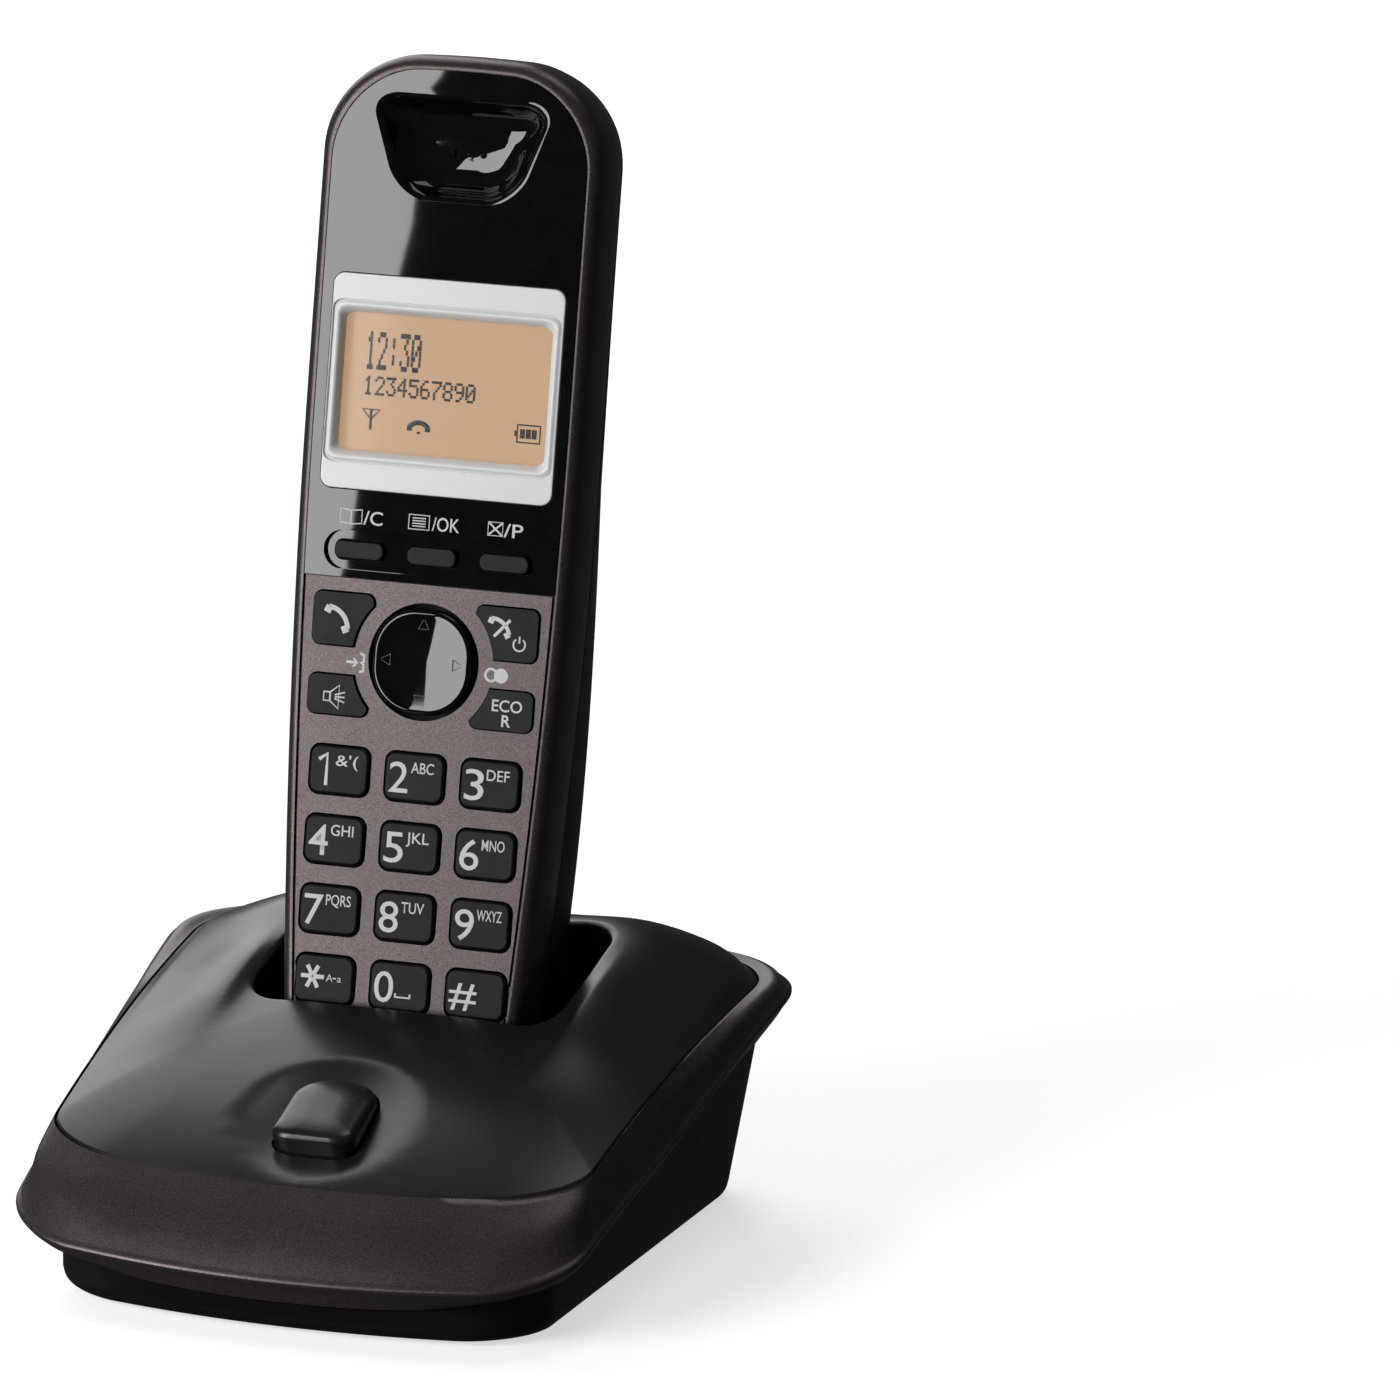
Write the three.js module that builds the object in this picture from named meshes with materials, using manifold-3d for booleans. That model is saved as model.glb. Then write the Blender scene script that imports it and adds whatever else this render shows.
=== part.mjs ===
// Cordless phone: a handset that stands, leaning back, in the pocket of its base unit.
// Millimetres, +Z up. The keypad faces -Y. The origin is under the middle of the whole object.
import * as THREE from "three";
import { mergeVertices } from "three/addons/utils/BufferGeometryUtils.js";
import Module from "manifold-3d";

const wasm = await Module();
wasm.setup();

// ---- Driving dimensions ----
const HANDSET_LENGTH = 165;
const HANDSET_WIDTH = 48.6;
const HANDSET_DEPTH = 28;
const BASE_WIDTH = 108.6;
const BASE_DEPTH = 108;
const BASE_RISE = 32.2; // height of the cover's edge, half way along the base
const LEAN = THREE.MathUtils.degToRad(12.5);
const WALL = 1.7;
const GAP = 0.3; // between neighbouring pieces
const SEAM = 0.15; // between faces that show as one line

// ---- Handset: v runs up from its bottom end, w is proud of its face ----
const FRONT_BAND = 10.8; // how deep the front case reaches
const PLATE = 1.8; // thickness of the keypad plate
const WIDEST_AT = 0.66 * HANDSET_LENGTH;
const FACE_EDGE = 2.1; // rounded edge around the face
const PANEL_INSET = 2.5;
const PANEL_THICK = 1.6;
const PANEL_FOOT = 0.485 * HANDSET_LENGTH; // where the gloss panel meets the keypad plate
const EAR_AT = 0.909 * HANDSET_LENGTH;
const DISPLAY_AT = 0.677 * HANDSET_LENGTH;
const SOFT_KEYS_AT = 0.5125 * HANDSET_LENGTH;
const NAV_AT = 0.41 * HANDSET_LENGTH;
const TOP_ROW_AT = 0.297 * HANDSET_LENGTH;
const ROW_PITCH = 0.0684 * HANDSET_LENGTH;
const COLUMN_PITCH = 0.2675 * HANDSET_WIDTH;
const KEY_WIDTH = 0.79 * COLUMN_PITCH;
const KEY_HEIGHT = 0.7 * ROW_PITCH;
const KEY_PROUD = 0.5;
const KEY_FOOT = -2.9; // underside of a key's flange
const NAV_HOLE = 0.195 * HANDSET_WIDTH;
const NAV_KEY = 0.175 * HANDSET_WIDTH;
const MAT_TOP = -3.7;
const BOARD_TOP = -5.4;
const BEZEL_WIDTH = 0.819 * HANDSET_WIDTH;
const BEZEL_HEIGHT = 0.21 * HANDSET_LENGTH;
const WINDOW_WIDTH = 0.749 * HANDSET_WIDTH;
const WINDOW_HEIGHT = 0.1412 * HANDSET_LENGTH;
const CELL_RADIUS = 5.25;
const CELL_LENGTH = 44.5;
const CELL_AT = 57; // middle of the battery bay, up from the bottom end
const BAY_WIDTH = 26.6;
const BAY_LENGTH = 47.4;
const LID_WIDTH = 29;
const LID_LENGTH = 51.6;
const LID_THICK = 1.5;
const CELL_W = LID_THICK + 0.35 + CELL_RADIUS - HANDSET_DEPTH;

// ---- Base: y runs back from the point over which the handset stands ----
const FRONT = 0.521 * BASE_DEPTH;
const REAR = 0.479 * BASE_DEPTH;
const HALF_WIDTH = BASE_WIDTH / 2;
const FOOT_HEIGHT = 0.6;
const COVER_THICK = 2;
const POCKET_WIDTH = HANDSET_WIDTH + 4.4;
const POCKET_DEPTH = HANDSET_DEPTH + 5;
const POCKET_FLOOR = -0.8; // below the handset's bottom end
const SEAT_Y = -0.4; // where the bottom of the handset's face stands
const SEAT_Z = BASE_RISE - 6.1;
const LOCATOR_Y = -0.52 * FRONT;
const LOCATOR_SIZE = [14, 16.5];
const DISH_RADIUS = 14.6;
const CONTACT_U = 7;
const CONTACT_W = -17.5;

// ---- Finishes ----
const finish = (color, roughness, metalness) => ({ color, roughness, metalness });
const MOCHA = finish(0x3b3130, 0.42, 0.55);
const GLOSS_BLACK = finish(0x08080a, 0.08, 0);
const SATIN_BLACK = finish(0x121214, 0.35, 0);
const KEY_BLACK = finish(0x17171a, 0.4, 0);
const SILVER = finish(0xc9cbd2, 0.3, 0.6);
const CLEAR = finish(0xdfe6e8, 0.05, 0);
const LCD_AMBER = finish(0xd6ae86, 0.5, 0);
const RUBBER = finish(0x202022, 0.8, 0);
const BOARD_GREEN = finish(0x1f5a38, 0.5, 0);
const STEEL = finish(0xa9abb0, 0.3, 0.9);
const GOLD = finish(0xcaa558, 0.3, 0.9);
const CELL_GREEN = finish(0x3f6f4d, 0.4, 0.1);

// ---- Solids ----
function solid(geometry) {
  const bare = new THREE.BufferGeometry();
  const loose = geometry.index ? geometry.toNonIndexed() : geometry;
  bare.setAttribute("position", loose.getAttribute("position"));
  const merged = mergeVertices(bare, 1e-4);
  const mesh = new wasm.Mesh({
    numProp: 3,
    vertProperties: merged.attributes.position.array,
    triVerts: new Uint32Array(merged.index.array),
  });
  return new wasm.Manifold(mesh);
}

function geometryOf(body) {
  const mesh = body.getMesh();
  const geometry = new THREE.BufferGeometry();
  geometry.setAttribute("position", new THREE.BufferAttribute(mesh.vertProperties, 3));
  geometry.setIndex(new THREE.BufferAttribute(mesh.triVerts, 1));
  const faceted = geometry.toNonIndexed();
  faceted.computeVertexNormals();
  return faceted;
}

function piece(name, body, look) {
  const mesh = new THREE.Mesh(geometryOf(body), new THREE.MeshStandardMaterial(look));
  mesh.name = name;
  return mesh;
}

const join = (bodies) => bodies.reduce((sum, body) => sum.add(body));
const cut = (body, tools) => tools.reduce((rest, tool) => rest.subtract(tool), body);

function roundedRect(width, height, radius) {
  const x = width / 2 - radius;
  const y = height / 2 - radius;
  const shape = new THREE.Shape();
  shape.absarc(x, y, radius, 0, Math.PI / 2);
  shape.absarc(-x, y, radius, Math.PI / 2, Math.PI);
  shape.absarc(-x, -y, radius, Math.PI, 1.5 * Math.PI);
  shape.absarc(x, -y, radius, 1.5 * Math.PI, 2 * Math.PI);
  return shape;
}

// A flat shape carried from low to high, with both rims rounded by edge.
function slab(shape, low, high, { at = [0, 0], edge = 0, arc = 4, rounds = 1 } = {}) {
  const geometry = new THREE.ExtrudeGeometry(shape, {
    depth: high - low - 2 * edge,
    curveSegments: arc,
    bevelEnabled: edge > 0,
    bevelThickness: edge,
    bevelSize: edge,
    bevelOffset: -edge,
    bevelSegments: rounds,
  });
  return solid(geometry.translate(at[0], at[1], low + edge));
}

function box(width, height, low, high, at = [0, 0]) {
  const geometry = new THREE.BoxGeometry(width, height, high - low);
  return solid(geometry.translate(at[0], at[1], (low + high) / 2));
}

// A round bar along z.
function rod(radius, low, high, at = [0, 0], sides = 24) {
  const geometry = new THREE.CylinderGeometry(radius, radius, high - low, sides);
  geometry.rotateX(Math.PI / 2);
  return solid(geometry.translate(at[0], at[1], (low + high) / 2));
}

// A round bar along y.
function bar(radius, low, high, at, sides = 20) {
  const geometry = new THREE.CylinderGeometry(radius, radius, high - low, sides);
  return solid(geometry.translate(at[0], (low + high) / 2, at[1]));
}

// An outline in a 2 x 2 square. Each corner is a quarter ellipse of the given half axes.
function unitOutline(lowCorner, highCorner, alongX, alongY, cornerSteps) {
  const points = [];
  const corner = (sx, sy, [rx, ry], start) => {
    for (let i = 0; i <= cornerSteps; i++) {
      const angle = start + (i / cornerSteps) * (Math.PI / 2);
      points.push([sx * (1 - rx) + rx * Math.cos(angle), sy * (1 - ry) + ry * Math.sin(angle)]);
    }
  };
  const edge = (from, to, steps) => {
    for (let i = 1; i < steps; i++) {
      const t = i / steps;
      points.push([from[0] + t * (to[0] - from[0]), from[1] + t * (to[1] - from[1])]);
    }
  };
  const [lx, ly] = lowCorner;
  const [hx, hy] = highCorner;
  corner(1, 1, highCorner, 0);
  edge([1 - hx, 1], [hx - 1, 1], alongX);
  corner(-1, 1, highCorner, Math.PI / 2);
  edge([-1, 1 - hy], [-1, ly - 1], alongY);
  corner(-1, -1, lowCorner, Math.PI);
  edge([lx - 1, -1], [1 - lx, -1], alongX);
  corner(1, -1, lowCorner, 1.5 * Math.PI);
  edge([1, ly - 1], [1, 1 - hy], alongY);
  return new THREE.Shape(points.map(([x, y]) => new THREE.Vector2(x, y)));
}

// A unit outline carried through levels. place turns a unit point and its level into a point.
function loft(outline, levels, place) {
  const last = levels.length - 1;
  const geometry = new THREE.ExtrudeGeometry(outline, { depth: last, steps: last, bevelEnabled: false });
  const position = geometry.attributes.position;
  for (let i = 0; i < position.count; i++) {
    const level = levels[Math.round(position.getZ(i))];
    position.setXYZ(i, ...place(position.getX(i), position.getY(i), level));
  }
  return solid(geometry);
}

const smoothstep = (low, high, value) => THREE.MathUtils.smoothstep(value, low, high);

// ---- Handset shells ----
const HANDSET_OUTLINE = unitOutline([0.42, 0.1], [0.64, 0.19], 3, 9, 6);

// slim is how much further in an outline runs at the top than at the bottom.
function handsetPoint(a, b, { inset: level, slim = 0, w }) {
  const half = HANDSET_LENGTH / 2;
  const crown = 1.4 * a * a * Math.max(0, b) ** 8;
  const inset = level + slim * smoothstep(-0.7, 0.7, b);
  const v = half + b * (half - inset) - crown;
  const below = Math.max(0, 1 - v / WIDEST_AT);
  const taper = 0.177 * below * below;
  const halfWidth = (HANDSET_WIDTH / 2) * (1 - taper) - inset;
  return [a * halfWidth, v, w];
}

const handsetLoft = (levels) => loft(HANDSET_OUTLINE, levels, handsetPoint);
const handsetPrism = (inset, low, high) =>
  handsetLoft([
    { inset, w: low },
    { inset, w: high },
  ]);
const above = (v) => box(2 * HANDSET_WIDTH, HANDSET_LENGTH, -50, 50, [0, v + HANDSET_LENGTH / 2]);
const below = (v) => box(2 * HANDSET_WIDTH, HANDSET_LENGTH, -50, 50, [0, v - HANDSET_LENGTH / 2]);

const DIGIT_KEYS = ["1", "2", "3", "4", "5", "6", "7", "8", "9", "star", "0", "hash"];
function digitPlace(index) {
  const column = index % 3;
  const row = Math.floor(index / 3);
  return [(column - 1) * COLUMN_PITCH, TOP_ROW_AT - row * ROW_PITCH];
}

// The four keys around the navigator: a rounded block whose inner side follows the navigator's ring.
const FUNCTION_KEYS = [
  { name: "talk_key", side: -1, width: 10.3, rise: 1 },
  { name: "off_key", side: 1, width: 10.7, rise: 1 },
  { name: "speaker_key", side: -1, width: 10.3, rise: -1 },
  { name: "recall_key", side: 1, width: 10.7, rise: -1 },
];
const FUNCTION_HEIGHT = [8.5, 6.4]; // upper pair, lower pair
function functionKey({ side, width, rise }, low, high, grow, edge = 0) {
  const height = FUNCTION_HEIGHT[rise > 0 ? 0 : 1];
  const outer = 0.397 * HANDSET_WIDTH;
  const middle = rise > 0 ? 5.75 : -6.5;
  const at = [side * (outer - width / 2), NAV_AT + middle];
  const shape = roundedRect(width + 2 * grow, height + 2 * grow, 1.3 + grow);
  const block = slab(shape, low, high, { at, edge, arc: 3 });
  return block.subtract(rod(12.2 - grow, low - 1, high + 1, [0, NAV_AT], 40));
}

const SOFT_KEYS = ["left_soft_key", "middle_soft_key", "right_soft_key"];
const SOFT_SPREAD = 0.257 * HANDSET_WIDTH;

function frontCase() {
  const shell = handsetLoft([
    { inset: 0.5, w: -FRONT_BAND },
    { inset: 0, w: -7 },
    { inset: 0.25, w: -2.2 },
    { inset: 1, w: -0.7 },
    { inset: FACE_EDGE, w: 0 },
  ]);
  const hollow = handsetPrism(WALL + 0.5, -FRONT_BAND - 1, -PLATE - 1.4);
  const behindKeys = handsetPrism(WALL + 0.5, -PLATE - 1.5, -PLATE).intersect(below(PANEL_FOOT - 1.5));
  const seat = handsetPrism(PANEL_INSET - SEAM, -PANEL_THICK - GAP, 1).intersect(above(PANEL_FOOT));
  const behindPanel = handsetPrism(PANEL_INSET + 2.2, -5, 0).intersect(above(PANEL_FOOT + 1.2));
  const digitHoles = DIGIT_KEYS.map((_, i) => {
    const shape = roundedRect(KEY_WIDTH + 0.5, KEY_HEIGHT + 0.5, 1.9);
    return slab(shape, -3, 1, { at: digitPlace(i), arc: 3 });
  });
  const functionHoles = FUNCTION_KEYS.map((key) => functionKey(key, -3, 1, 0.25));
  const navHole = rod(NAV_HOLE, -3, 1, [0, NAV_AT], 40);
  const microphoneHole = rod(0.6, -3, 1, [0, 5.2], 8);
  const tools = [hollow, behindKeys, seat, behindPanel, navHole, microphoneHole];
  return cut(shell, [...tools, ...digitHoles, ...functionHoles]);
}

// The ear cup: a rounded trapezoid that narrows towards the display.
const EAR_OUTLINE = unitOutline([0.5, 0.55], [0.34, 0.5], 2, 1, 4);
function earLoft(grow, drop) {
  const place = (a, b, { inset, w }) => {
    const halfWidth = 12.9 + 3 * b - inset;
    return [a * halfWidth, EAR_AT + b * (8.3 - inset * 0.8), w];
  };
  const levels = [
    { inset: 5.8 - grow, w: -4.4 - drop },
    { inset: 3.4 - grow, w: -3.3 - drop },
    { inset: 1.6 - grow, w: -1.8 - drop },
    { inset: 0.4 - grow, w: -0.5 - drop },
    { inset: -0.2 - grow, w: 0.4 },
  ];
  return loft(EAR_OUTLINE, levels, place);
}

function frontPanel() {
  const plate = handsetPrism(PANEL_INSET, -PANEL_THICK, 0).intersect(above(PANEL_FOOT + SEAM));
  const boss = earLoft(1.2, 1).intersect(handsetPrism(PANEL_INSET + 2.6, -7, -0.3));
  const bezelHole = slab(roundedRect(BEZEL_WIDTH + 2 * SEAM, BEZEL_HEIGHT + 2 * SEAM, 2.1), -3, 1, {
    at: [0, DISPLAY_AT],
  });
  const softTrough = slab(roundedRect(0.761 * HANDSET_WIDTH, 6.3, 3.1), -1, 1, { at: [0, SOFT_KEYS_AT] });
  const softHoles = SOFT_KEYS.map((_, i) =>
    slab(roundedRect(9, 3.5, 1.5), -3, 1, { at: [(i - 1) * SOFT_SPREAD, SOFT_KEYS_AT], arc: 3 }),
  );
  const soundHoles = [-2.4, 0, 2.4].map((u) => rod(0.6, -7, 1, [u, EAR_AT - 0.6], 8));
  return cut(plate.add(boss), [earLoft(0, 0), bezelHole, softTrough, ...softHoles, ...soundHoles]);
}

function displayBezel() {
  const frame = slab(roundedRect(BEZEL_WIDTH, BEZEL_HEIGHT, 2), -1, 0.35, { edge: 0.25, arc: 5, rounds: 2 });
  const outline = unitOutline([0.08, 0.12], [0.08, 0.12], 1, 1, 3);
  const opening = loft(
    outline,
    [
      { inset: 1.3, w: -2 },
      { inset: 0.9, w: -0.8 },
      { inset: -0.4, w: 1 },
    ],
    (a, b, { inset, w }) => [a * (WINDOW_WIDTH / 2 - inset), b * (WINDOW_HEIGHT / 2 - inset), w],
  );
  return frame.subtract(opening).translate([0, DISPLAY_AT, 0]);
}

function displayWindow() {
  return box(0.765 * HANDSET_WIDTH, WINDOW_HEIGHT + 2, -2.1, -1.3, [0, DISPLAY_AT]);
}

function displayModule() {
  const glass = box(0.755 * HANDSET_WIDTH, WINDOW_HEIGHT + 2.6, -3.6, -2.4, [0, DISPLAY_AT]);
  const backlight = box(0.755 * HANDSET_WIDTH, WINDOW_HEIGHT + 5, -4.8, -3.5, [0, DISPLAY_AT]);
  return glass.add(backlight);
}

function keypadMat() {
  const low = 8;
  const high = SOFT_KEYS_AT + 4;
  return slab(roundedRect(0.7 * HANDSET_WIDTH, high - low, 3), MAT_TOP - 1, MAT_TOP, {
    at: [0, (low + high) / 2],
  });
}

function mainBoard() {
  const low = 8;
  const high = EAR_AT - 12;
  return slab(roundedRect(0.69 * HANDSET_WIDTH, high - low, 2), BOARD_TOP - 1.2, BOARD_TOP, {
    at: [0, (low + high) / 2],
  });
}

function earpieceSpeaker() {
  const at = [0, EAR_AT];
  return rod(7.5, -9.4, -6.4, at).add(rod(4.5, -11, -9.3, at));
}

function ringerSpeaker() {
  const at = [0, DISPLAY_AT + 16];
  const back = 2.4 - HANDSET_DEPTH;
  return rod(10, back, back + 2.6, at).add(rod(6, back + 2.5, back + 5, at));
}

function microphone() {
  return rod(2, -4.6, -2.4, [0, 5.2], 16);
}

function digitKey() {
  const cap = slab(roundedRect(KEY_WIDTH, KEY_HEIGHT, 1.7), -2.4, KEY_PROUD, { edge: 0.4, arc: 3 });
  const flange = slab(roundedRect(KEY_WIDTH, KEY_HEIGHT + 1.6, 1.7), KEY_FOOT, -2.3, { arc: 1 });
  return cap.add(flange);
}

function functionCap(key) {
  return functionKey(key, KEY_FOOT, KEY_PROUD, 0, 0.4);
}

function softKey() {
  const cap = slab(roundedRect(8.6, 3.1, 1.3), -2.4, -0.1, { edge: 0.3, arc: 3 });
  return cap.add(slab(roundedRect(10, 4.4, 1.6), KEY_FOOT, -2.3, { arc: 2 }));
}

// The navigator is a disc, slightly squared, with a wide shallow dish in its top.
function navKey() {
  const outline = unitOutline([0.86, 0.86], [0.86, 0.86], 1, 1, 8);
  return loft(
    outline,
    [
      { r: 1, w: -2.2 },
      { r: 1, w: 0.3 },
      { r: 0.95, w: 1 },
      { r: 0.9, w: 1.1 },
      { r: 0.86, w: 1.04 },
      { r: 0.5, w: 0.76 },
      { r: 0.15, w: 0.63 },
    ],
    (a, b, { r, w }) => [a * r * NAV_KEY, b * r * NAV_KEY, w],
  );
}

function navPivot() {
  return rod(3, -3.3, -2.6, [0, 0], 16);
}

// ---- Handset, rear ----
const REAR_LEVELS = [
  { inset: 9.8, slim: 2, w: -HANDSET_DEPTH },
  { inset: 6.8, slim: 2.6, w: 0.7 - HANDSET_DEPTH },
  { inset: 3.8, slim: 3.2, w: 2.7 - HANDSET_DEPTH },
  { inset: 1.6, slim: 3.6, w: 6 - HANDSET_DEPTH },
  { inset: 0.5, slim: 2.6, w: 11 - HANDSET_DEPTH },
  { inset: 0.4, slim: 0.9, w: 14.5 - HANDSET_DEPTH },
  { inset: 0.5, w: -FRONT_BAND - GAP },
];

function rearHollow() {
  const last = REAR_LEVELS.length - 1;
  const levels = REAR_LEVELS.map(({ inset, slim, w }, i) => ({
    inset: inset + (i === 0 ? 0.6 : WALL),
    slim,
    w: i === last ? w + 1 : w + WALL * Math.max(0, 1 - i / 4),
  }));
  return handsetLoft(levels);
}

const CONTACT_CUT = [4.6, 5.6];
function rearCase() {
  const shell = handsetLoft(REAR_LEVELS).subtract(rearHollow());
  const at = [0, CELL_AT];
  const tub = box(BAY_WIDTH + 4.6, BAY_LENGTH + 6.6, 1.2 - HANDSET_DEPTH, -13.5, at);
  const tubInShell = tub.intersect(handsetLoft(REAR_LEVELS));
  const bay = box(BAY_WIDTH, BAY_LENGTH, -2 * HANDSET_DEPTH, -14.9, at);
  const lidSeat = slab(
    roundedRect(LID_WIDTH + 0.4, LID_LENGTH + 0.4, 3.2),
    -HANDSET_DEPTH - 2,
    WALL - HANDSET_DEPTH,
    { at },
  );
  const soundSlots = [-4.5, 0, 4.5].map((v) =>
    slab(roundedRect(12, 1.6, 0.7), -HANDSET_DEPTH - 2, 3 - HANDSET_DEPTH, {
      at: [0, DISPLAY_AT + 16 + v],
      arc: 2,
    }),
  );
  const screwSeats = SCREW_SIDES.map((side) =>
    rod(2.8, -HANDSET_DEPTH - 1, 1 - HANDSET_DEPTH, handsetScrewPlace(side)),
  );
  const contactCuts = [-1, 1].map((side) => {
    const [width, depth] = CONTACT_CUT;
    const slot = [side * CONTACT_U, 0];
    return box(width, 3.1, CONTACT_W - depth / 2, CONTACT_W + depth / 2, slot);
  });
  return cut(shell.add(tubInShell), [bay, lidSeat, ...soundSlots, ...screwSeats, ...contactCuts]);
}

function batteryLid() {
  const outline = roundedRect(LID_WIDTH, LID_LENGTH, 3);
  const blank = slab(outline, -HANDSET_DEPTH - 2, LID_THICK - HANDSET_DEPTH, { at: [0, CELL_AT] });
  const lid = blank.intersect(handsetLoft(REAR_LEVELS));
  const grips = [-3, 0, 3].map((v) =>
    box(12, 1, -HANDSET_DEPTH - 1, 0.4 - HANDSET_DEPTH, [0, CELL_AT + LID_LENGTH / 2 - 9 + v]),
  );
  return cut(lid, grips);
}

function batteryCell(side) {
  const [low, high] = [CELL_AT - CELL_LENGTH / 2, CELL_AT + CELL_LENGTH / 2];
  const at = [side * (CELL_RADIUS + 0.35), CELL_W];
  const body = bar(CELL_RADIUS, low + (side > 0 ? 0 : 1), high - (side > 0 ? 1 : 0), at);
  const nub = bar(1.9, side > 0 ? high - 1.1 : low, side > 0 ? high : low + 1.1, at, 12);
  return body.add(nub);
}

function batteryContact(end) {
  const v = CELL_AT + end * (BAY_LENGTH / 2 - 0.7);
  return box(20, 0.6, CELL_W - 4, CELL_W + 4, [0, v]);
}

function handsetContact(side) {
  return box(3.6, 0.8, CONTACT_W - 2.2, CONTACT_W + 2.2, [side * CONTACT_U, 0.9]);
}

const SCREW_SIDES = [-1, 1];
const handsetScrewPlace = (side) => [side * 0.185 * HANDSET_WIDTH, EAR_AT - 2];

function screw(radius, low, high, recess) {
  const head = rod(radius, low, high);
  const slot = box(1.4 * radius, 0.5, low - 1, low + recess);
  const cross = box(0.5, 1.4 * radius, low - 1, low + recess);
  return cut(head, [slot, cross]);
}

function placed(mesh, u, v, w = 0) {
  mesh.position.set(u, v, w);
  return mesh;
}

function handset() {
  const group = new THREE.Group();
  group.position.set(0, SEAT_Y, SEAT_Z);
  group.rotation.x = Math.PI / 2 - LEAN;
  group.add(piece("handset_front_case", frontCase(), MOCHA));
  group.add(piece("front_panel", frontPanel(), GLOSS_BLACK));
  group.add(piece("display_bezel", displayBezel(), SILVER));
  group.add(piece("display_window", displayWindow(), CLEAR));
  group.add(piece("display_module", displayModule(), LCD_AMBER));
  group.add(piece("keypad_mat", keypadMat(), RUBBER));
  group.add(piece("main_board", mainBoard(), BOARD_GREEN));
  group.add(piece("earpiece_speaker", earpieceSpeaker(), STEEL));
  group.add(piece("ringer_speaker", ringerSpeaker(), STEEL));
  group.add(piece("microphone", microphone(), STEEL));
  group.add(piece("handset_rear_case", rearCase(), SATIN_BLACK));
  group.add(piece("battery_lid", batteryLid(), SATIN_BLACK));
  DIGIT_KEYS.forEach((label, i) => {
    group.add(placed(piece("key_" + label, digitKey(), KEY_BLACK), ...digitPlace(i)));
  });
  FUNCTION_KEYS.forEach((key) => {
    group.add(piece(key.name, functionCap(key), KEY_BLACK));
  });
  SOFT_KEYS.forEach((name, i) => {
    group.add(placed(piece(name, softKey(), KEY_BLACK), (i - 1) * SOFT_SPREAD, SOFT_KEYS_AT));
  });
  group.add(placed(piece("nav_key", navKey(), GLOSS_BLACK), 0, NAV_AT));
  group.add(placed(piece("nav_pivot", navPivot(), STEEL), 0, NAV_AT));
  [-1, 1].forEach((side) => {
    const end = side < 0 ? "left" : "right";
    group.add(piece("battery_cell_" + end, batteryCell(side), CELL_GREEN));
    group.add(piece("handset_contact_" + end, handsetContact(side), GOLD));
    const screwMesh = piece("handset_screw_" + end, screw(2.4, 0, 0.8, 0.4), STEEL);
    group.add(placed(screwMesh, ...handsetScrewPlace(side), 0.1 - HANDSET_DEPTH));
  });
  group.add(piece("battery_contact_low", batteryContact(-1), STEEL));
  group.add(piece("battery_contact_high", batteryContact(1), STEEL));
  return group;
}

// ---- Base shells ----
const BASE_OUTLINE = unitOutline([0.28, 0.24], [0.38, 0.3], 6, 6, 5);
const scaleRise = BASE_RISE / 32.2;
const scaleDepth = BASE_DEPTH / 108;

// Heights over the floor, from front to back.
function seamHeight(y) {
  const s = y / scaleDepth;
  return scaleRise * (32.16 + 0.176 * s - 0.0015 * s * s);
}
function creaseHeight(y) {
  return seamHeight(y) - scaleRise * (1.6 + 6 * (1 - smoothstep(-15, 45, y / scaleDepth)));
}
function lipHeight(y) {
  const s = y / scaleDepth;
  return scaleRise * (19.7 + 0.23 * s - 0.0004 * s * s);
}

// The four outlines that the base is lofted through.
const FLOOR = { half: HALF_WIDTH - 11.2, flare: 0.045, front: FRONT - 4.2, rear: REAR - 5.5 };
const LIP = { half: HALF_WIDTH - 7.6, flare: 0.078, front: FRONT - 2, rear: REAR - 3, round: 0.08 };
const CREASE = { half: HALF_WIDTH - 2.9, flare: 0.075, front: FRONT, rear: REAR };
const RIM = { half: HALF_WIDTH - 6.9, flare: 0.05, front: FRONT - 12.5, rear: REAR - 2.1 };

// round draws an outline's front corners in.
function edgePoint(a, b, { half, flare, front, rear, inset = 0, round = 0 }) {
  const bow = 5 * a * a * Math.max(0, -b) ** 3;
  const corner = 1 - round * (a * Math.min(0, b)) ** 4;
  const y = b < 0 ? b * (front - inset) * corner + bow : b * (rear - inset);
  return [a * (half - inset + flare * y) * corner, y];
}
function basePoint(a, b, level) {
  const [x, y] = edgePoint(a, b, level);
  return [x, y, level.height(x, y)];
}
const baseLoft = (levels) => loft(BASE_OUTLINE, levels, basePoint);

function lowerCase() {
  const shell = baseLoft([
    { ...FLOOR, inset: 2.4, height: () => FOOT_HEIGHT },
    { ...FLOOR, inset: 0.9, height: () => FOOT_HEIGHT + 0.3 },
    { ...FLOOR, inset: 0.2, height: () => FOOT_HEIGHT + 1.1 },
    { ...FLOOR, inset: -0.2, height: () => FOOT_HEIGHT + 2.6 },
    { ...LIP, inset: 0.4, height: (x, y) => lipHeight(y) - 0.4 },
  ]);
  const hollow = baseLoft([
    { ...FLOOR, inset: 2.2, height: () => 3 },
    { ...LIP, inset: 2.4, height: (x, y) => lipHeight(y) + 0.5 },
  ]);
  const footSeats = FEET.map(({ at }) => rod(5.4, 0, 2, at));
  const screwSeats = BASE_SCREWS.map(({ at }) => rod(2.9, 0, 1.9, at));
  const boardPosts = FEET.map(({ at }) => rod(2.6, 2.8, 4.7, [at[0] * 0.8, at[1] * 0.8], 12));
  return cut(join([shell.subtract(hollow), ...boardPosts]), [
    ...footSeats,
    ...screwSeats,
    jackCut(DC_JACK),
    jackCut(LINE_JACK),
  ]);
}

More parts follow.
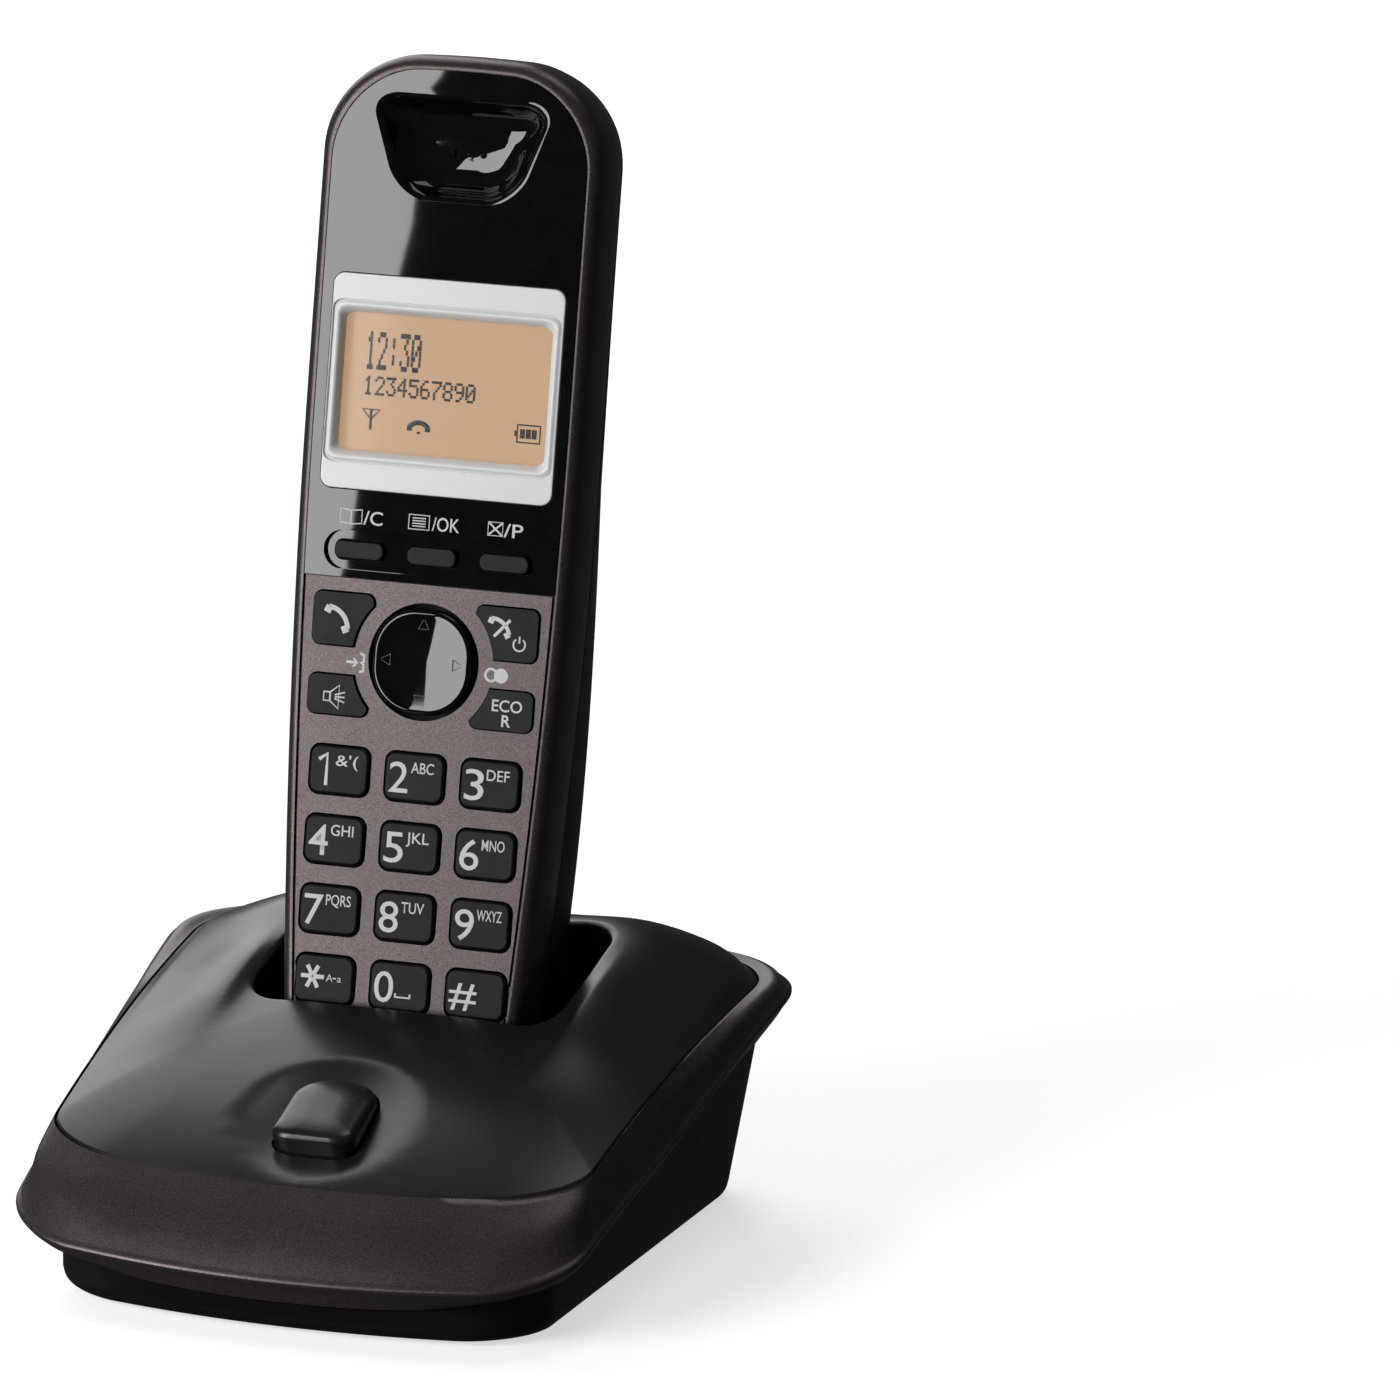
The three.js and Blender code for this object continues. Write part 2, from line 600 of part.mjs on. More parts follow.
function baseBezel() {
  const shoulder = {
    half: (CREASE.half + RIM.half) / 2,
    flare: CREASE.flare,
    front: (CREASE.front + RIM.front) / 2,
    rear: (CREASE.rear + RIM.rear) / 2,
    height: (x, y) => (creaseHeight(y) + seamHeight(y)) / 2 + 1.1,
  };
  const outer = baseLoft([
    { ...LIP, height: (x, y) => lipHeight(y) },
    { ...CREASE, inset: 0.8, height: (x, y) => creaseHeight(y) - 1.6 },
    { ...CREASE, height: (x, y) => creaseHeight(y) },
    { ...CREASE, inset: 0.8, height: (x, y) => creaseHeight(y) + 0.8 },
    shoulder,
    { ...RIM, height: (x, y) => seamHeight(y) },
  ]);
  const hollow = baseLoft([
    { ...LIP, inset: 2, height: (x, y) => lipHeight(y) - 1 },
    { ...LIP, inset: 2, height: (x, y) => lipHeight(y) + 2 },
    { ...RIM, inset: 3.4, height: (x, y) => seamHeight(y) - 4.4 },
    { ...RIM, inset: 2.8, height: (x, y) => seamHeight(y) + 4 },
  ]);
  const seat = baseLoft([
    { ...RIM, height: (x, y) => seamHeight(y) - COVER_THICK - 0.3 },
    { ...RIM, height: (x, y) => seamHeight(y) + 4 },
  ]);
  return cut(outer, [hollow, seat]);
}

// ---- Base cover ----
const COVER_CENTRE = 0.141 * BASE_DEPTH;
const COVER_CROWN = 6.2 * scaleRise;

// How far the cover swells above its edge: q is 1 at the edge and 0 at the centre.
function swell(q) {
  return COVER_CROWN * (1 - q ** 3);
}

// The cover rises behind the pocket and beside it, and a ridge runs forward from each side of the pocket:
// steep on its inner side and easy on its outer one.
function relief(x, y) {
  const side = Math.abs(x);
  const shoulder = 3.3 * Math.exp(-(((side - 29) / 15) ** 2) - ((y - 38) / 21) ** 2);
  const bridge = 3.5 * Math.exp(-((side / 22) ** 2) - ((y - 42) / 10) ** 2);
  const across = side - POCKET_WIDTH / 2 - 3.6;
  const reach = across < 0 ? 3.2 : 9;
  const fade = smoothstep(-20, -1, y) * (1 - smoothstep(8, 30, y));
  const ridge = 1.9 * Math.exp(-((across / reach) ** 2)) * fade;
  return shoulder + bridge + ridge;
}

function coverPoint(a, b, { inset, q, drop }) {
  const [xe, ye] = edgePoint(a, b, { ...RIM, inset });
  const x = q * xe;
  const y = COVER_CENTRE + q * (ye - COVER_CENTRE);
  const lift = q < 0.98 ? swell(q) + relief(x, y) : 0;
  return [x, y, seamHeight(y) + lift - drop];
}

const COVER_RINGS = [0.975, 0.93, 0.88, 0.82, 0.76, 0.7, 0.64, 0.58, 0.52, 0.46, 0.4, 0.33, 0.2, 0.05];
function coverBody(floorDrop, inset, drop) {
  const rings = COVER_RINGS.map((q) => ({ inset, q, drop }));
  const levels = [{ inset, q: 1, drop: floorDrop }, { inset, q: 1, drop: drop + 0.5 }, ...rings];
  return loft(BASE_OUTLINE, levels, coverPoint);
}

// Turns and moves a body from the handset's frame into the base's.
const inHandsetFrame = (body) =>
  body.rotate([90 - THREE.MathUtils.radToDeg(LEAN), 0, 0]).translate([0, SEAT_Y, SEAT_Z]);

// A rounded block that stands along the handset.
function pocketBlock(grow, low, high) {
  const shape = roundedRect(POCKET_WIDTH + 2 * grow, POCKET_DEPTH + 2 * grow, 7 + grow);
  const geometry = new THREE.ExtrudeGeometry(shape, {
    depth: high - low,
    curveSegments: 5,
    bevelEnabled: false,
  });
  geometry.rotateX(-Math.PI / 2).translate(0, low, -HANDSET_DEPTH / 2 - 0.3);
  return inHandsetFrame(solid(geometry));
}

const LOCATOR_Q = (COVER_CENTRE - LOCATOR_Y) / (COVER_CENTRE + RIM.front);
const LOCATOR_Z = seamHeight(LOCATOR_Y) + swell(LOCATOR_Q);
const LOCATOR_TILT = 23.6;
const inLocatorFrame = (body) => body.rotate([LOCATOR_TILT, 0, 0]).translate([0, LOCATOR_Y, LOCATOR_Z]);

// The button's outline: square at the front, round at the back.
const LOCATOR_OUTLINE = unitOutline([0.5, 0.3], [0.8, 0.62], 2, 2, 4);
function locatorLoft(levels) {
  const [width, length] = LOCATOR_SIZE;
  return loft(LOCATOR_OUTLINE, levels, (a, b, { inset, z }) => {
    const y = b * (length / 2 - inset);
    return [a * (width / 2 - inset), y, z(y)];
  });
}
const locatorBlock = (grow, low, high) =>
  locatorLoft([
    { inset: -grow, z: () => low },
    { inset: -grow, z: () => high },
  ]);

function locatorDish() {
  const depth = 2.1;
  const radius = (DISH_RADIUS ** 2 + depth ** 2) / (2 * depth);
  const profile = [new THREE.Vector2(0, -depth)];
  const steps = 8;
  for (let i = 1; i <= steps; i++) {
    const r = (i / steps) * DISH_RADIUS;
    profile.push(new THREE.Vector2(r, radius - depth - Math.sqrt(radius ** 2 - r ** 2)));
  }
  profile.push(new THREE.Vector2(DISH_RADIUS + 2, 4), new THREE.Vector2(0, 4));
  const geometry = new THREE.LatheGeometry(profile, 40);
  return solid(geometry.rotateX(Math.PI / 2));
}

function topCover() {
  const shell = coverBody(COVER_THICK, GAP, 0).subtract(coverBody(COVER_THICK + 2, GAP + 2, COVER_THICK));
  const column = coverBody(BASE_RISE + 20, GAP + 2, 0.2);
  const cup = pocketBlock(WALL, POCKET_FLOOR - WALL, 60).intersect(column);
  const pocket = pocketBlock(0, POCKET_FLOOR, 60);
  const contactSlots = [-1, 1].map((side) =>
    inHandsetFrame(box(4.2, 8, CONTACT_W - 2.6, CONTACT_W + 2.6, [side * CONTACT_U, -3])),
  );
  const thickening = inLocatorFrame(rod(DISH_RADIUS - 1.8, -4, -1, [0, 0], 32));
  const posts = [-1, 1].map((side) => inLocatorFrame(rod(2.2, -11, -3, [side * 12.5, 0], 12)));
  const buttonHole = inLocatorFrame(locatorBlock(0.4, -6, 4));
  const flangeRoom = inLocatorFrame(locatorBlock(1.6, -8, -4));
  const body = join([shell, cup, thickening, ...posts]);
  return cut(body, [pocket, inLocatorFrame(locatorDish()), buttonHole, flangeRoom, ...contactSlots]);
}

// The button's top slopes less than the cover around it, so its front edge stands proud.
function locatorButton() {
  const top = (y) => 1.5 - 0.11 * y;
  const cap = locatorLoft([
    { inset: 0, z: () => -4.3 },
    { inset: 0, z: (y) => top(y) - 1.4 },
    { inset: 0.5, z: (y) => top(y) - 0.5 },
    { inset: 1.6, z: (y) => top(y) },
    { inset: 5, z: (y) => top(y) + 0.35 },
  ]);
  const flange = locatorBlock(1.2, -5.1, -4.3);
  const stem = rod(2, -6.7, -5, [0, 0], 16);
  return join([cap, flange, stem]);
}

function locatorSwitch() {
  return box(6, 6, -11, -8.6).add(rod(1.6, -8.7, -7.8, [0, 0], 12));
}

function locatorBoard() {
  return slab(roundedRect(30, 12, 1.5), -12.5, -11.3);
}

function baseBoard() {
  const depth = 0.7 * BASE_DEPTH;
  return slab(roundedRect(0.62 * BASE_WIDTH, depth, 3), 5, 6.6, { at: [0, -5] });
}

// A sprung contact in the pocket's floor: a flat pin with a foot under the floor.
function cradleContact(side) {
  const at = [side * CONTACT_U, -2.1];
  const pin = box(3.2, 4.4, CONTACT_W - 1.9, CONTACT_W + 1.9, at);
  const foot = box(5.4, 1, CONTACT_W - 3.4, CONTACT_W + 3.4, [at[0], -4.2]);
  return pin.add(foot);
}

// ---- Sockets in the back wall ----
const DC_JACK = { x: -20, z: 13.4, width: 9.4, height: 11, length: 12 };
const LINE_JACK = { x: 18, z: 13.4, width: 14, height: 12, length: 15 };
const JACK_FACE = FLOOR.rear + 0.7;

function jackCut({ x, z, width, height }) {
  return box(width + 2 * GAP, 14, z - height / 2 - GAP, z + height / 2 + GAP, [x, JACK_FACE + 2]);
}

function jackBlock({ x, z, width, height, length }) {
  return box(width, length, z - height / 2, z + height / 2, [x, JACK_FACE - length / 2]);
}

function dcJack() {
  const at = [DC_JACK.x, DC_JACK.z];
  const barrel = bar(3, JACK_FACE - 9, JACK_FACE + 1, at);
  const pin = bar(0.8, JACK_FACE - 9.5, JACK_FACE - 1.5, at, 10);
  return jackBlock(DC_JACK).subtract(barrel).add(pin);
}

function lineJack() {
  const { x, z } = LINE_JACK;
  const mouth = box(10, 12.5, z - 4, z + 3, [x, JACK_FACE - 5.5]);
  const latch = box(4, 12.5, z - 5, z - 3.9, [x, JACK_FACE - 5.5]);
  return cut(jackBlock(LINE_JACK), [mouth, latch]);
}

const FEET = [-1, 1].flatMap((side) =>
  [-1, 1].map((end) => ({
    name: "foot_" + (end < 0 ? "front_" : "rear_") + (side < 0 ? "left" : "right"),
    at: [side * 0.29 * BASE_WIDTH, end < 0 ? -0.68 * FRONT : 0.7 * REAR],
  })),
);
const BASE_SCREWS = [-1, 1].map((end) => ({
  name: "base_screw_" + (end < 0 ? "front" : "rear"),
  at: [0, end < 0 ? -0.7 * FRONT : 0.45 * REAR],
}));

function foot() {
  const geometry = new THREE.LatheGeometry(
    [
      new THREE.Vector2(0, 0),
      new THREE.Vector2(4.6, 0),
      new THREE.Vector2(5, 0.4),
      new THREE.Vector2(5, 1.7),
      new THREE.Vector2(0, 1.7),
    ],
    24,
  );
  return solid(geometry.rotateX(Math.PI / 2));
}

function base() {
  const group = new THREE.Group();
  group.add(piece("base_cover", topCover(), GLOSS_BLACK));
  group.add(piece("base_bezel", baseBezel(), MOCHA));
  group.add(piece("base_lower_case", lowerCase(), SATIN_BLACK));
  const locator = new THREE.Group();
  locator.position.set(0, LOCATOR_Y, LOCATOR_Z);
  locator.rotation.x = THREE.MathUtils.degToRad(LOCATOR_TILT);
  locator.add(piece("locator_button", locatorButton(), GLOSS_BLACK));
  locator.add(piece("locator_switch", locatorSwitch(), SATIN_BLACK));
  locator.add(piece("locator_board", locatorBoard(), BOARD_GREEN));
  group.add(locator);
  group.add(piece("base_board", baseBoard(), BOARD_GREEN));
  [-1, 1].forEach((side) => {
    const name = "cradle_contact_" + (side < 0 ? "left" : "right");
    group.add(piece(name, inHandsetFrame(cradleContact(side)), GOLD));
  });
  group.add(piece("dc_jack", dcJack(), SATIN_BLACK));
  group.add(piece("line_jack", lineJack(), SATIN_BLACK));
  FEET.forEach(({ name, at }) => group.add(placed(piece(name, foot(), RUBBER), ...at)));
  BASE_SCREWS.forEach(({ name, at }) => {
    group.add(placed(piece(name, screw(2.5, 0, 0.8, 0.4), STEEL), ...at, FOOT_HEIGHT));
  });
  return group;
}

const phone = new THREE.Group();
phone.add(base(), handset());
const bounds = new THREE.Box3().setFromObject(phone);
const middle = bounds.getCenter(new THREE.Vector3());
phone.position.set(-middle.x, -middle.y, -bounds.min.z);

const part = new THREE.Group();
part.add(phone);
export default part;
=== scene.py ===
"""The looks of a cordless phone that stands in the pocket of its base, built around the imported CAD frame."""

import math

import bmesh
import bpy
from mathutils import Matrix, Vector


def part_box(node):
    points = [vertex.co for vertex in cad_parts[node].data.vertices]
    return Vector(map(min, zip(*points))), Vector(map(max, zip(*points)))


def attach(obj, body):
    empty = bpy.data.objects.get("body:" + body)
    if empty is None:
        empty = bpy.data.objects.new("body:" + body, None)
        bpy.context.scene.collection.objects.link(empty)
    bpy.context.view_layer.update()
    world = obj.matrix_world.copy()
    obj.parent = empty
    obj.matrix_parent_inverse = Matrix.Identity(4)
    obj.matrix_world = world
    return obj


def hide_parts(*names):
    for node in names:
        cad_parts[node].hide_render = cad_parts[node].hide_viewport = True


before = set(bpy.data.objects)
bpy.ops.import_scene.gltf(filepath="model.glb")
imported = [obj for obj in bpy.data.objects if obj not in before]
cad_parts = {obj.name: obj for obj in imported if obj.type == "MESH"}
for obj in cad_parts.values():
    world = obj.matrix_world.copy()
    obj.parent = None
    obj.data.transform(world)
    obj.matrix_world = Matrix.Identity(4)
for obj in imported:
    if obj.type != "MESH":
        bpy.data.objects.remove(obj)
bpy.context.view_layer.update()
bpy.ops.object.select_all(action="DESELECT")

MM = 0.001

# ---- Sizes in millimetres, as in the CAD ----
HANDSET_LENGTH = 165
HANDSET_WIDTH = 48.6
HANDSET_DEPTH = 28
BASE_DEPTH = 108
HALF_WIDTH = 54.3
BASE_RISE = 32.2
LEAN = math.radians(12.5)
WALL = 1.7
FRONT_BAND = 10.8
PLATE = 1.8
WIDEST_AT = 0.66 * HANDSET_LENGTH
PANEL_INSET = 2.5
PANEL_THICK = 1.6
PANEL_FOOT = 0.485 * HANDSET_LENGTH
EAR_AT = 0.909 * HANDSET_LENGTH
DISPLAY_AT = 0.677 * HANDSET_LENGTH
SOFT_KEYS_AT = 0.5125 * HANDSET_LENGTH
SOFT_SPREAD = 0.257 * HANDSET_WIDTH
NAV_AT = 0.41 * HANDSET_LENGTH
TOP_ROW_AT = 0.297 * HANDSET_LENGTH
ROW_PITCH = 0.0684 * HANDSET_LENGTH
COLUMN_PITCH = 0.2675 * HANDSET_WIDTH
KEY_WIDTH = 0.79 * COLUMN_PITCH
KEY_HEIGHT = 0.7 * ROW_PITCH
KEY_PROUD = 0.5
KEY_FOOT = -2.9
NAV_HOLE = 0.195 * HANDSET_WIDTH
NAV_KEY = 0.175 * HANDSET_WIDTH
BEZEL_WIDTH = 0.819 * HANDSET_WIDTH
BEZEL_HEIGHT = 0.21 * HANDSET_LENGTH
WINDOW_WIDTH = 0.749 * HANDSET_WIDTH
WINDOW_HEIGHT = 0.1412 * HANDSET_LENGTH
CELL_AT = 57
BAY_WIDTH = 26.6
BAY_LENGTH = 47.4
LID_WIDTH = 29
LID_LENGTH = 51.6
LID_THICK = 1.5
CONTACT_U = 7
CONTACT_W = -17.5

FRONT = 0.521 * BASE_DEPTH
REAR = 0.479 * BASE_DEPTH
FOOT_HEIGHT = 0.6
GAP = 0.3
COVER_THICK = 2
POCKET_WIDTH = HANDSET_WIDTH + 4.4
POCKET_DEPTH = HANDSET_DEPTH + 5
POCKET_FLOOR = -0.8
SEAT_Y = -0.4
SEAT_Z = BASE_RISE - 6.1
COVER_CENTRE = 0.141 * BASE_DEPTH
LOCATOR_Y = -0.52 * FRONT
LOCATOR_TILT = math.radians(23.6)
LOCATOR_SIZE = (14, 16.5)
DISH_RADIUS = 14.6
DISH_DEPTH = 2.1
FLOOR = {"half": HALF_WIDTH - 11.2, "flare": 0.045, "front": FRONT - 4.2, "rear": REAR - 5.5}
LIP = {"half": HALF_WIDTH - 7.6, "flare": 0.078, "front": FRONT - 2, "rear": REAR - 3, "round": 0.08}
CREASE = {"half": HALF_WIDTH - 2.9, "flare": 0.075, "front": FRONT, "rear": REAR}
RIM = {"half": HALF_WIDTH - 6.9, "flare": 0.05, "front": FRONT - 12.5, "rear": REAR - 2.1}
JACK_FACE = FLOOR["rear"] + 0.7
DC_JACK = {"x": -20, "z": 13.4, "width": 9.4, "height": 11}
LINE_JACK = {"x": 18, "z": 13.4, "width": 14, "height": 12}
FEET = [(side * 0.29 * 2 * HALF_WIDTH, y) for side in (-1, 1) for y in (-0.68 * FRONT, 0.7 * REAR)]
BASE_SCREWS = [-0.7 * FRONT, 0.45 * REAR]

# ---- Where each assembly stands: the feet tell where the base's own y = 0 lies ----
foot_low, foot_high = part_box("foot_front_left")
BASE_Y = (foot_low.y + foot_high.y) / 2 / MM + 0.68 * FRONT
BASE_PLACE = Matrix.Scale(MM, 4) @ Matrix.Translation((0, BASE_Y, 0))
HANDSET_TURN = Matrix.Translation((0, SEAT_Y, SEAT_Z)) @ Matrix.Rotation(math.pi / 2 - LEAN, 4, "X")
HANDSET_PLACE = BASE_PLACE @ HANDSET_TURN


def smoothstep(low, high, value):
    t = min(1, max(0, (value - low) / (high - low)))
    return t * t * (3 - 2 * t)


# ---- Camera ----
def add_camera():
    data = bpy.data.cameras.new("camera")
    data.lens = 267.3
    data.sensor_width = 36
    data.clip_start = 0.05
    data.clip_end = 50
    camera = bpy.data.objects.new("camera", data)
    bpy.context.scene.collection.objects.link(camera)
    camera.location = (0.5851, -1.4880, 0.5344)
    camera.rotation_euler = (math.radians(90 - 15.58), 0, math.radians(19.74))
    bpy.context.scene.camera = camera


add_camera()


# ---- Materials ----
def socket(group, name, way, kind="NodeSocketFloat", value=None):
    made = group.interface.new_socket(name=name, in_out=way, socket_type=kind)
    if value is not None:
        made.default_value = value
    return made


def make_grain_group():
    """Fine grain over slow, cloudy change. Grain and cloud sizes are given as patterns to the metre."""
    group = bpy.data.node_groups.new("surface_grain", "ShaderNodeTree")
    socket(group, "Grain Scale", "INPUT", value=3000)
    socket(group, "Cloud Scale", "INPUT", value=40)
    socket(group, "Grain", "OUTPUT")
    socket(group, "Cloud", "OUTPUT")
    nodes, links = group.nodes, group.links
    inward = nodes.new("NodeGroupInput")
    outward = nodes.new("NodeGroupOutput")
    place = nodes.new("ShaderNodeTexCoord")
    for scale, result, detail in (("Grain Scale", "Grain", 2.0), ("Cloud Scale", "Cloud", 3.0)):
        noise = nodes.new("ShaderNodeTexNoise")
        noise.inputs["Detail"].default_value = detail
        links.new(place.outputs["Object"], noise.inputs["Vector"])
        links.new(inward.outputs[scale], noise.inputs["Scale"])
        links.new(noise.outputs["Fac"], outward.inputs[result])
    return group


GRAIN = make_grain_group()


def make_wear_group():
    """1 along convex edges, 0 elsewhere, broken up by noise."""
    group = bpy.data.node_groups.new("edge_wear", "ShaderNodeTree")
    socket(group, "Breakup", "INPUT", value=300)
    socket(group, "Edge", "OUTPUT")
    nodes, links = group.nodes, group.links
    inward = nodes.new("NodeGroupInput")
    outward = nodes.new("NodeGroupOutput")
    geometry = nodes.new("ShaderNodeNewGeometry")
    place = nodes.new("ShaderNodeTexCoord")
    noise = nodes.new("ShaderNodeTexNoise")
    ramp = nodes.new("ShaderNodeMapRange")
    ramp.inputs["From Min"].default_value = 0.5
    ramp.inputs["From Max"].default_value = 0.62
    product = nodes.new("ShaderNodeMath")
    product.operation = "MULTIPLY"
    links.new(place.outputs["Object"], noise.inputs["Vector"])
    links.new(inward.outputs["Breakup"], noise.inputs["Scale"])
    links.new(geometry.outputs["Pointiness"], ramp.inputs["Value"])
    links.new(ramp.outputs["Result"], product.inputs[0])
    links.new(noise.outputs["Fac"], product.inputs[1])
    links.new(product.outputs["Value"], outward.inputs["Edge"])
    return group


WEAR = make_wear_group()


def finish(name, dark, light, rough, metallic=0.0, grain=3000, cloud=40, bump=0.0, **fixed):
    """A moulded or painted finish: two close colours, a roughness range, fine bump and worn edges."""
    material = bpy.data.materials.new(name)
    material.use_nodes = True
    nodes, links = material.node_tree.nodes, material.node_tree.links
    shader = nodes["Principled BSDF"]
    shader.inputs["Metallic"].default_value = metallic
    for key, value in fixed.items():
        shader.inputs[key.replace("_", " ")].default_value = value
    surface = nodes.new("ShaderNodeGroup")
    surface.node_tree = GRAIN
    surface.inputs["Grain Scale"].default_value = grain
    surface.inputs["Cloud Scale"].default_value = cloud
    spread = nodes.new("ShaderNodeMapRange")
    spread.inputs["From Min"].default_value = 0.3
    spread.inputs["From Max"].default_value = 0.7
    color = nodes.new("ShaderNodeMix")
    color.data_type = "RGBA"
    color.inputs["A"].default_value = (*dark, 1)
    color.inputs["B"].default_value = (*light, 1)
    links.new(surface.outputs["Grain"], spread.inputs["Value"])
    links.new(spread.outputs["Result"], color.inputs["Factor"])
    links.new(color.outputs["Result"], shader.inputs["Base Color"])
    gloss = nodes.new("ShaderNodeMapRange")
    gloss.inputs["From Min"].default_value = 0.3
    gloss.inputs["From Max"].default_value = 0.7
    gloss.inputs["To Min"].default_value = rough[0]
    gloss.inputs["To Max"].default_value = rough[1]
    links.new(surface.outputs["Cloud"], gloss.inputs["Value"])
    wear = nodes.new("ShaderNodeGroup")
    wear.node_tree = WEAR
    worn = nodes.new("ShaderNodeMath")
    worn.operation = "MULTIPLY_ADD"
    worn.inputs[1].default_value = -0.25 * rough[0]
    links.new(wear.outputs["Edge"], worn.inputs[0])
    links.new(gloss.outputs["Result"], worn.inputs[2])
    links.new(worn.outputs["Value"], shader.inputs["Roughness"])
    if bump:
        relief = nodes.new("ShaderNodeBump")
        relief.inputs["Strength"].default_value = bump
        relief.inputs["Distance"].default_value = 0.00003
        links.new(surface.outputs["Grain"], relief.inputs["Height"])
        links.new(relief.outputs["Normal"], shader.inputs["Normal"])
    return material


MOCHA = finish("mocha_lacquer", (0.032, 0.025, 0.025), (0.115, 0.095, 0.093), (0.3, 0.38),
               metallic=0.6, grain=5200, cloud=60, bump=0.25)
GLOSS_BLACK_AND_GROOVE_SHADE = finish("panel_gloss_black_and_groove_shade", (0.002, 0.002, 0.0022), (0.004, 0.004, 0.0044), (0.012, 0.022),
                     grain=300, cloud=25)
COVER_BLACK = finish("cover_pearl_black", (0.006, 0.006, 0.007), (0.016, 0.015, 0.017), (0.24, 0.3),
                     grain=6000, cloud=30, bump=0.05)
SATIN_BLACK = finish("shell_satin_black", (0.004, 0.0035, 0.004), (0.008, 0.007, 0.008), (0.36, 0.46),
                     grain=4000, cloud=50, bump=0.25, Specular_IOR_Level=0.35)
KEY_BLACK = finish("key_satin_black", (0.003, 0.003, 0.0035), (0.006, 0.006, 0.007), (0.4, 0.48),
                   grain=4500, cloud=200, bump=0.3, Specular_IOR_Level=0.16)
NAV_BLACK = finish("nav_gloss_black", (0.002, 0.002, 0.0022), (0.004, 0.004, 0.0044), (0.02, 0.04),
                   grain=300, cloud=90)
SILVER = finish("bezel_silver_white", (0.78, 0.79, 0.8), (0.85, 0.86, 0.87), (0.2, 0.28),
                grain=6000, cloud=80)
PRINT_WHITE = finish("print_white", (0.6, 0.6, 0.6), (0.72, 0.72, 0.72), (0.45, 0.55), grain=5000)
PRINT_GREY = finish("print_grey", (0.06, 0.06, 0.065), (0.09, 0.09, 0.095), (0.3, 0.4), grain=5000)
PRINT_DARK = finish("print_dark", (0.002, 0.002, 0.002), (0.004, 0.004, 0.004), (0.3, 0.4), grain=5000)
RUBBER = finish("foot_rubber", (0.012, 0.012, 0.012), (0.024, 0.024, 0.024), (0.7, 0.85),
                grain=2500, cloud=100, bump=0.6)
BOARD = finish("board_solder_mask", (0.01, 0.07, 0.03), (0.02, 0.12, 0.05), (0.35, 0.5), grain=700)
STEEL = finish("turned_steel", (0.45, 0.45, 0.46), (0.6, 0.6, 0.61), (0.25, 0.38), metallic=1.0, grain=2500)
GOLD = finish("contact_plating", (0.62, 0.42, 0.16), (0.72, 0.52, 0.22), (0.2, 0.32), metallic=1.0,
              grain=2500)
SLEEVE = finish("cell_sleeve", (0.03, 0.12, 0.05), (0.05, 0.18, 0.08), (0.28, 0.4), grain=900)


def display_glow():
    material = finish("display_amber", (0.2, 0.13, 0.075), (0.24, 0.155, 0.09), (0.4, 0.5), grain=4000)
    shader = material.node_tree.nodes["Principled BSDF"]
    # The emission is partly the display's amber backlight and partly painted light: it fixes the display's lit
    # brightness whatever light falls on it.
    shader.inputs["Emission Color"].default_value = (0.67, 0.42, 0.24, 1)
    shader.inputs["Emission Strength"].default_value = 0.8
    return material


def clear_window():
    material = bpy.data.materials.new("window_clear")
    material.use_nodes = True
    nodes, links = material.node_tree.nodes, material.node_tree.links
    shader = nodes["Principled BSDF"]
    shader.inputs["Base Color"].default_value = (0.01, 0.01, 0.01, 1)
    shader.inputs["Alpha"].default_value = 0.12
    smudge = nodes.new("ShaderNodeGroup")
    smudge.node_tree = GRAIN
    smudge.inputs["Cloud Scale"].default_value = 60
    gloss = nodes.new("ShaderNodeMapRange")
    gloss.inputs["To Min"].default_value = 0.02
    gloss.inputs["To Max"].default_value = 0.08
    links.new(smudge.outputs["Cloud"], gloss.inputs["Value"])
    links.new(gloss.outputs["Result"], shader.inputs["Roughness"])
    return material


AMBER = display_glow()
CLEAR = clear_window()


# ---- Workshop: the ways a piece is shaped. Pieces are made in millimetres in their assembly's own frame ----
def edit_mode():
    bpy.ops.object.mode_set(mode="EDIT")


def object_mode():
    bpy.ops.object.mode_set(mode="OBJECT")


def activate(piece):
    bpy.ops.object.select_all(action="DESELECT")
    piece.select_set(True)
    bpy.context.view_layer.objects.active = piece


def apply_modifier(piece, kind, **values):
    activate(piece)
    modifier = piece.modifiers.new(kind.lower(), kind)
    for key, value in values.items():
        setattr(modifier, key, value)
    bpy.ops.object.modifier_apply(modifier=modifier.name)


def select_where(piece, part, test):
    """In edit mode, selects the vertices, edges or faces that pass a test on their place or direction."""
    mesh = bmesh.from_edit_mesh(piece.data)
    for elements in (mesh.verts, mesh.edges, mesh.faces):
        for element in elements:
            element.select = False
    for element in getattr(mesh, part):
        if test(element):
            element.select_set(True)
    bmesh.update_edit_mesh(piece.data)


def block(width, height, low, high, at=(0, 0), corner=0, rim=0, steps=6, rim_steps=3):
    """A block with its four upright edges rounded, and then its top rim."""
    middle = (at[0], at[1], (low + high) / 2)
    bpy.ops.mesh.primitive_cube_add(size=1, location=middle, scale=(width, height, high - low))
    piece = bpy.context.object
    bpy.ops.object.transform_apply(location=True, rotation=True, scale=True)
    edit_mode()
    if corner:
        bpy.ops.mesh.select_mode(type="EDGE")
        select_where(piece, "edges", lambda e: abs(e.verts[0].co.z - e.verts[1].co.z) > 1e-4)
        bpy.ops.mesh.bevel(offset=corner, segments=steps, affect="EDGES")
    if rim:
        bpy.ops.mesh.select_mode(type="FACE")
        select_where(piece, "faces", lambda f: f.normal.z > 0.9)
        bpy.ops.mesh.region_to_loop()
        bpy.ops.mesh.bevel(offset=rim, segments=rim_steps, affect="EDGES")
    object_mode()
    return piece


def rod(radius, low, high, at=(0, 0), sides=64):
    middle = (at[0], at[1], (low + high) / 2)
    bpy.ops.mesh.primitive_cylinder_add(vertices=sides, radius=radius, depth=high - low, location=middle)
    piece = bpy.context.object
    bpy.ops.object.transform_apply(location=True, rotation=True, scale=True)
    return piece


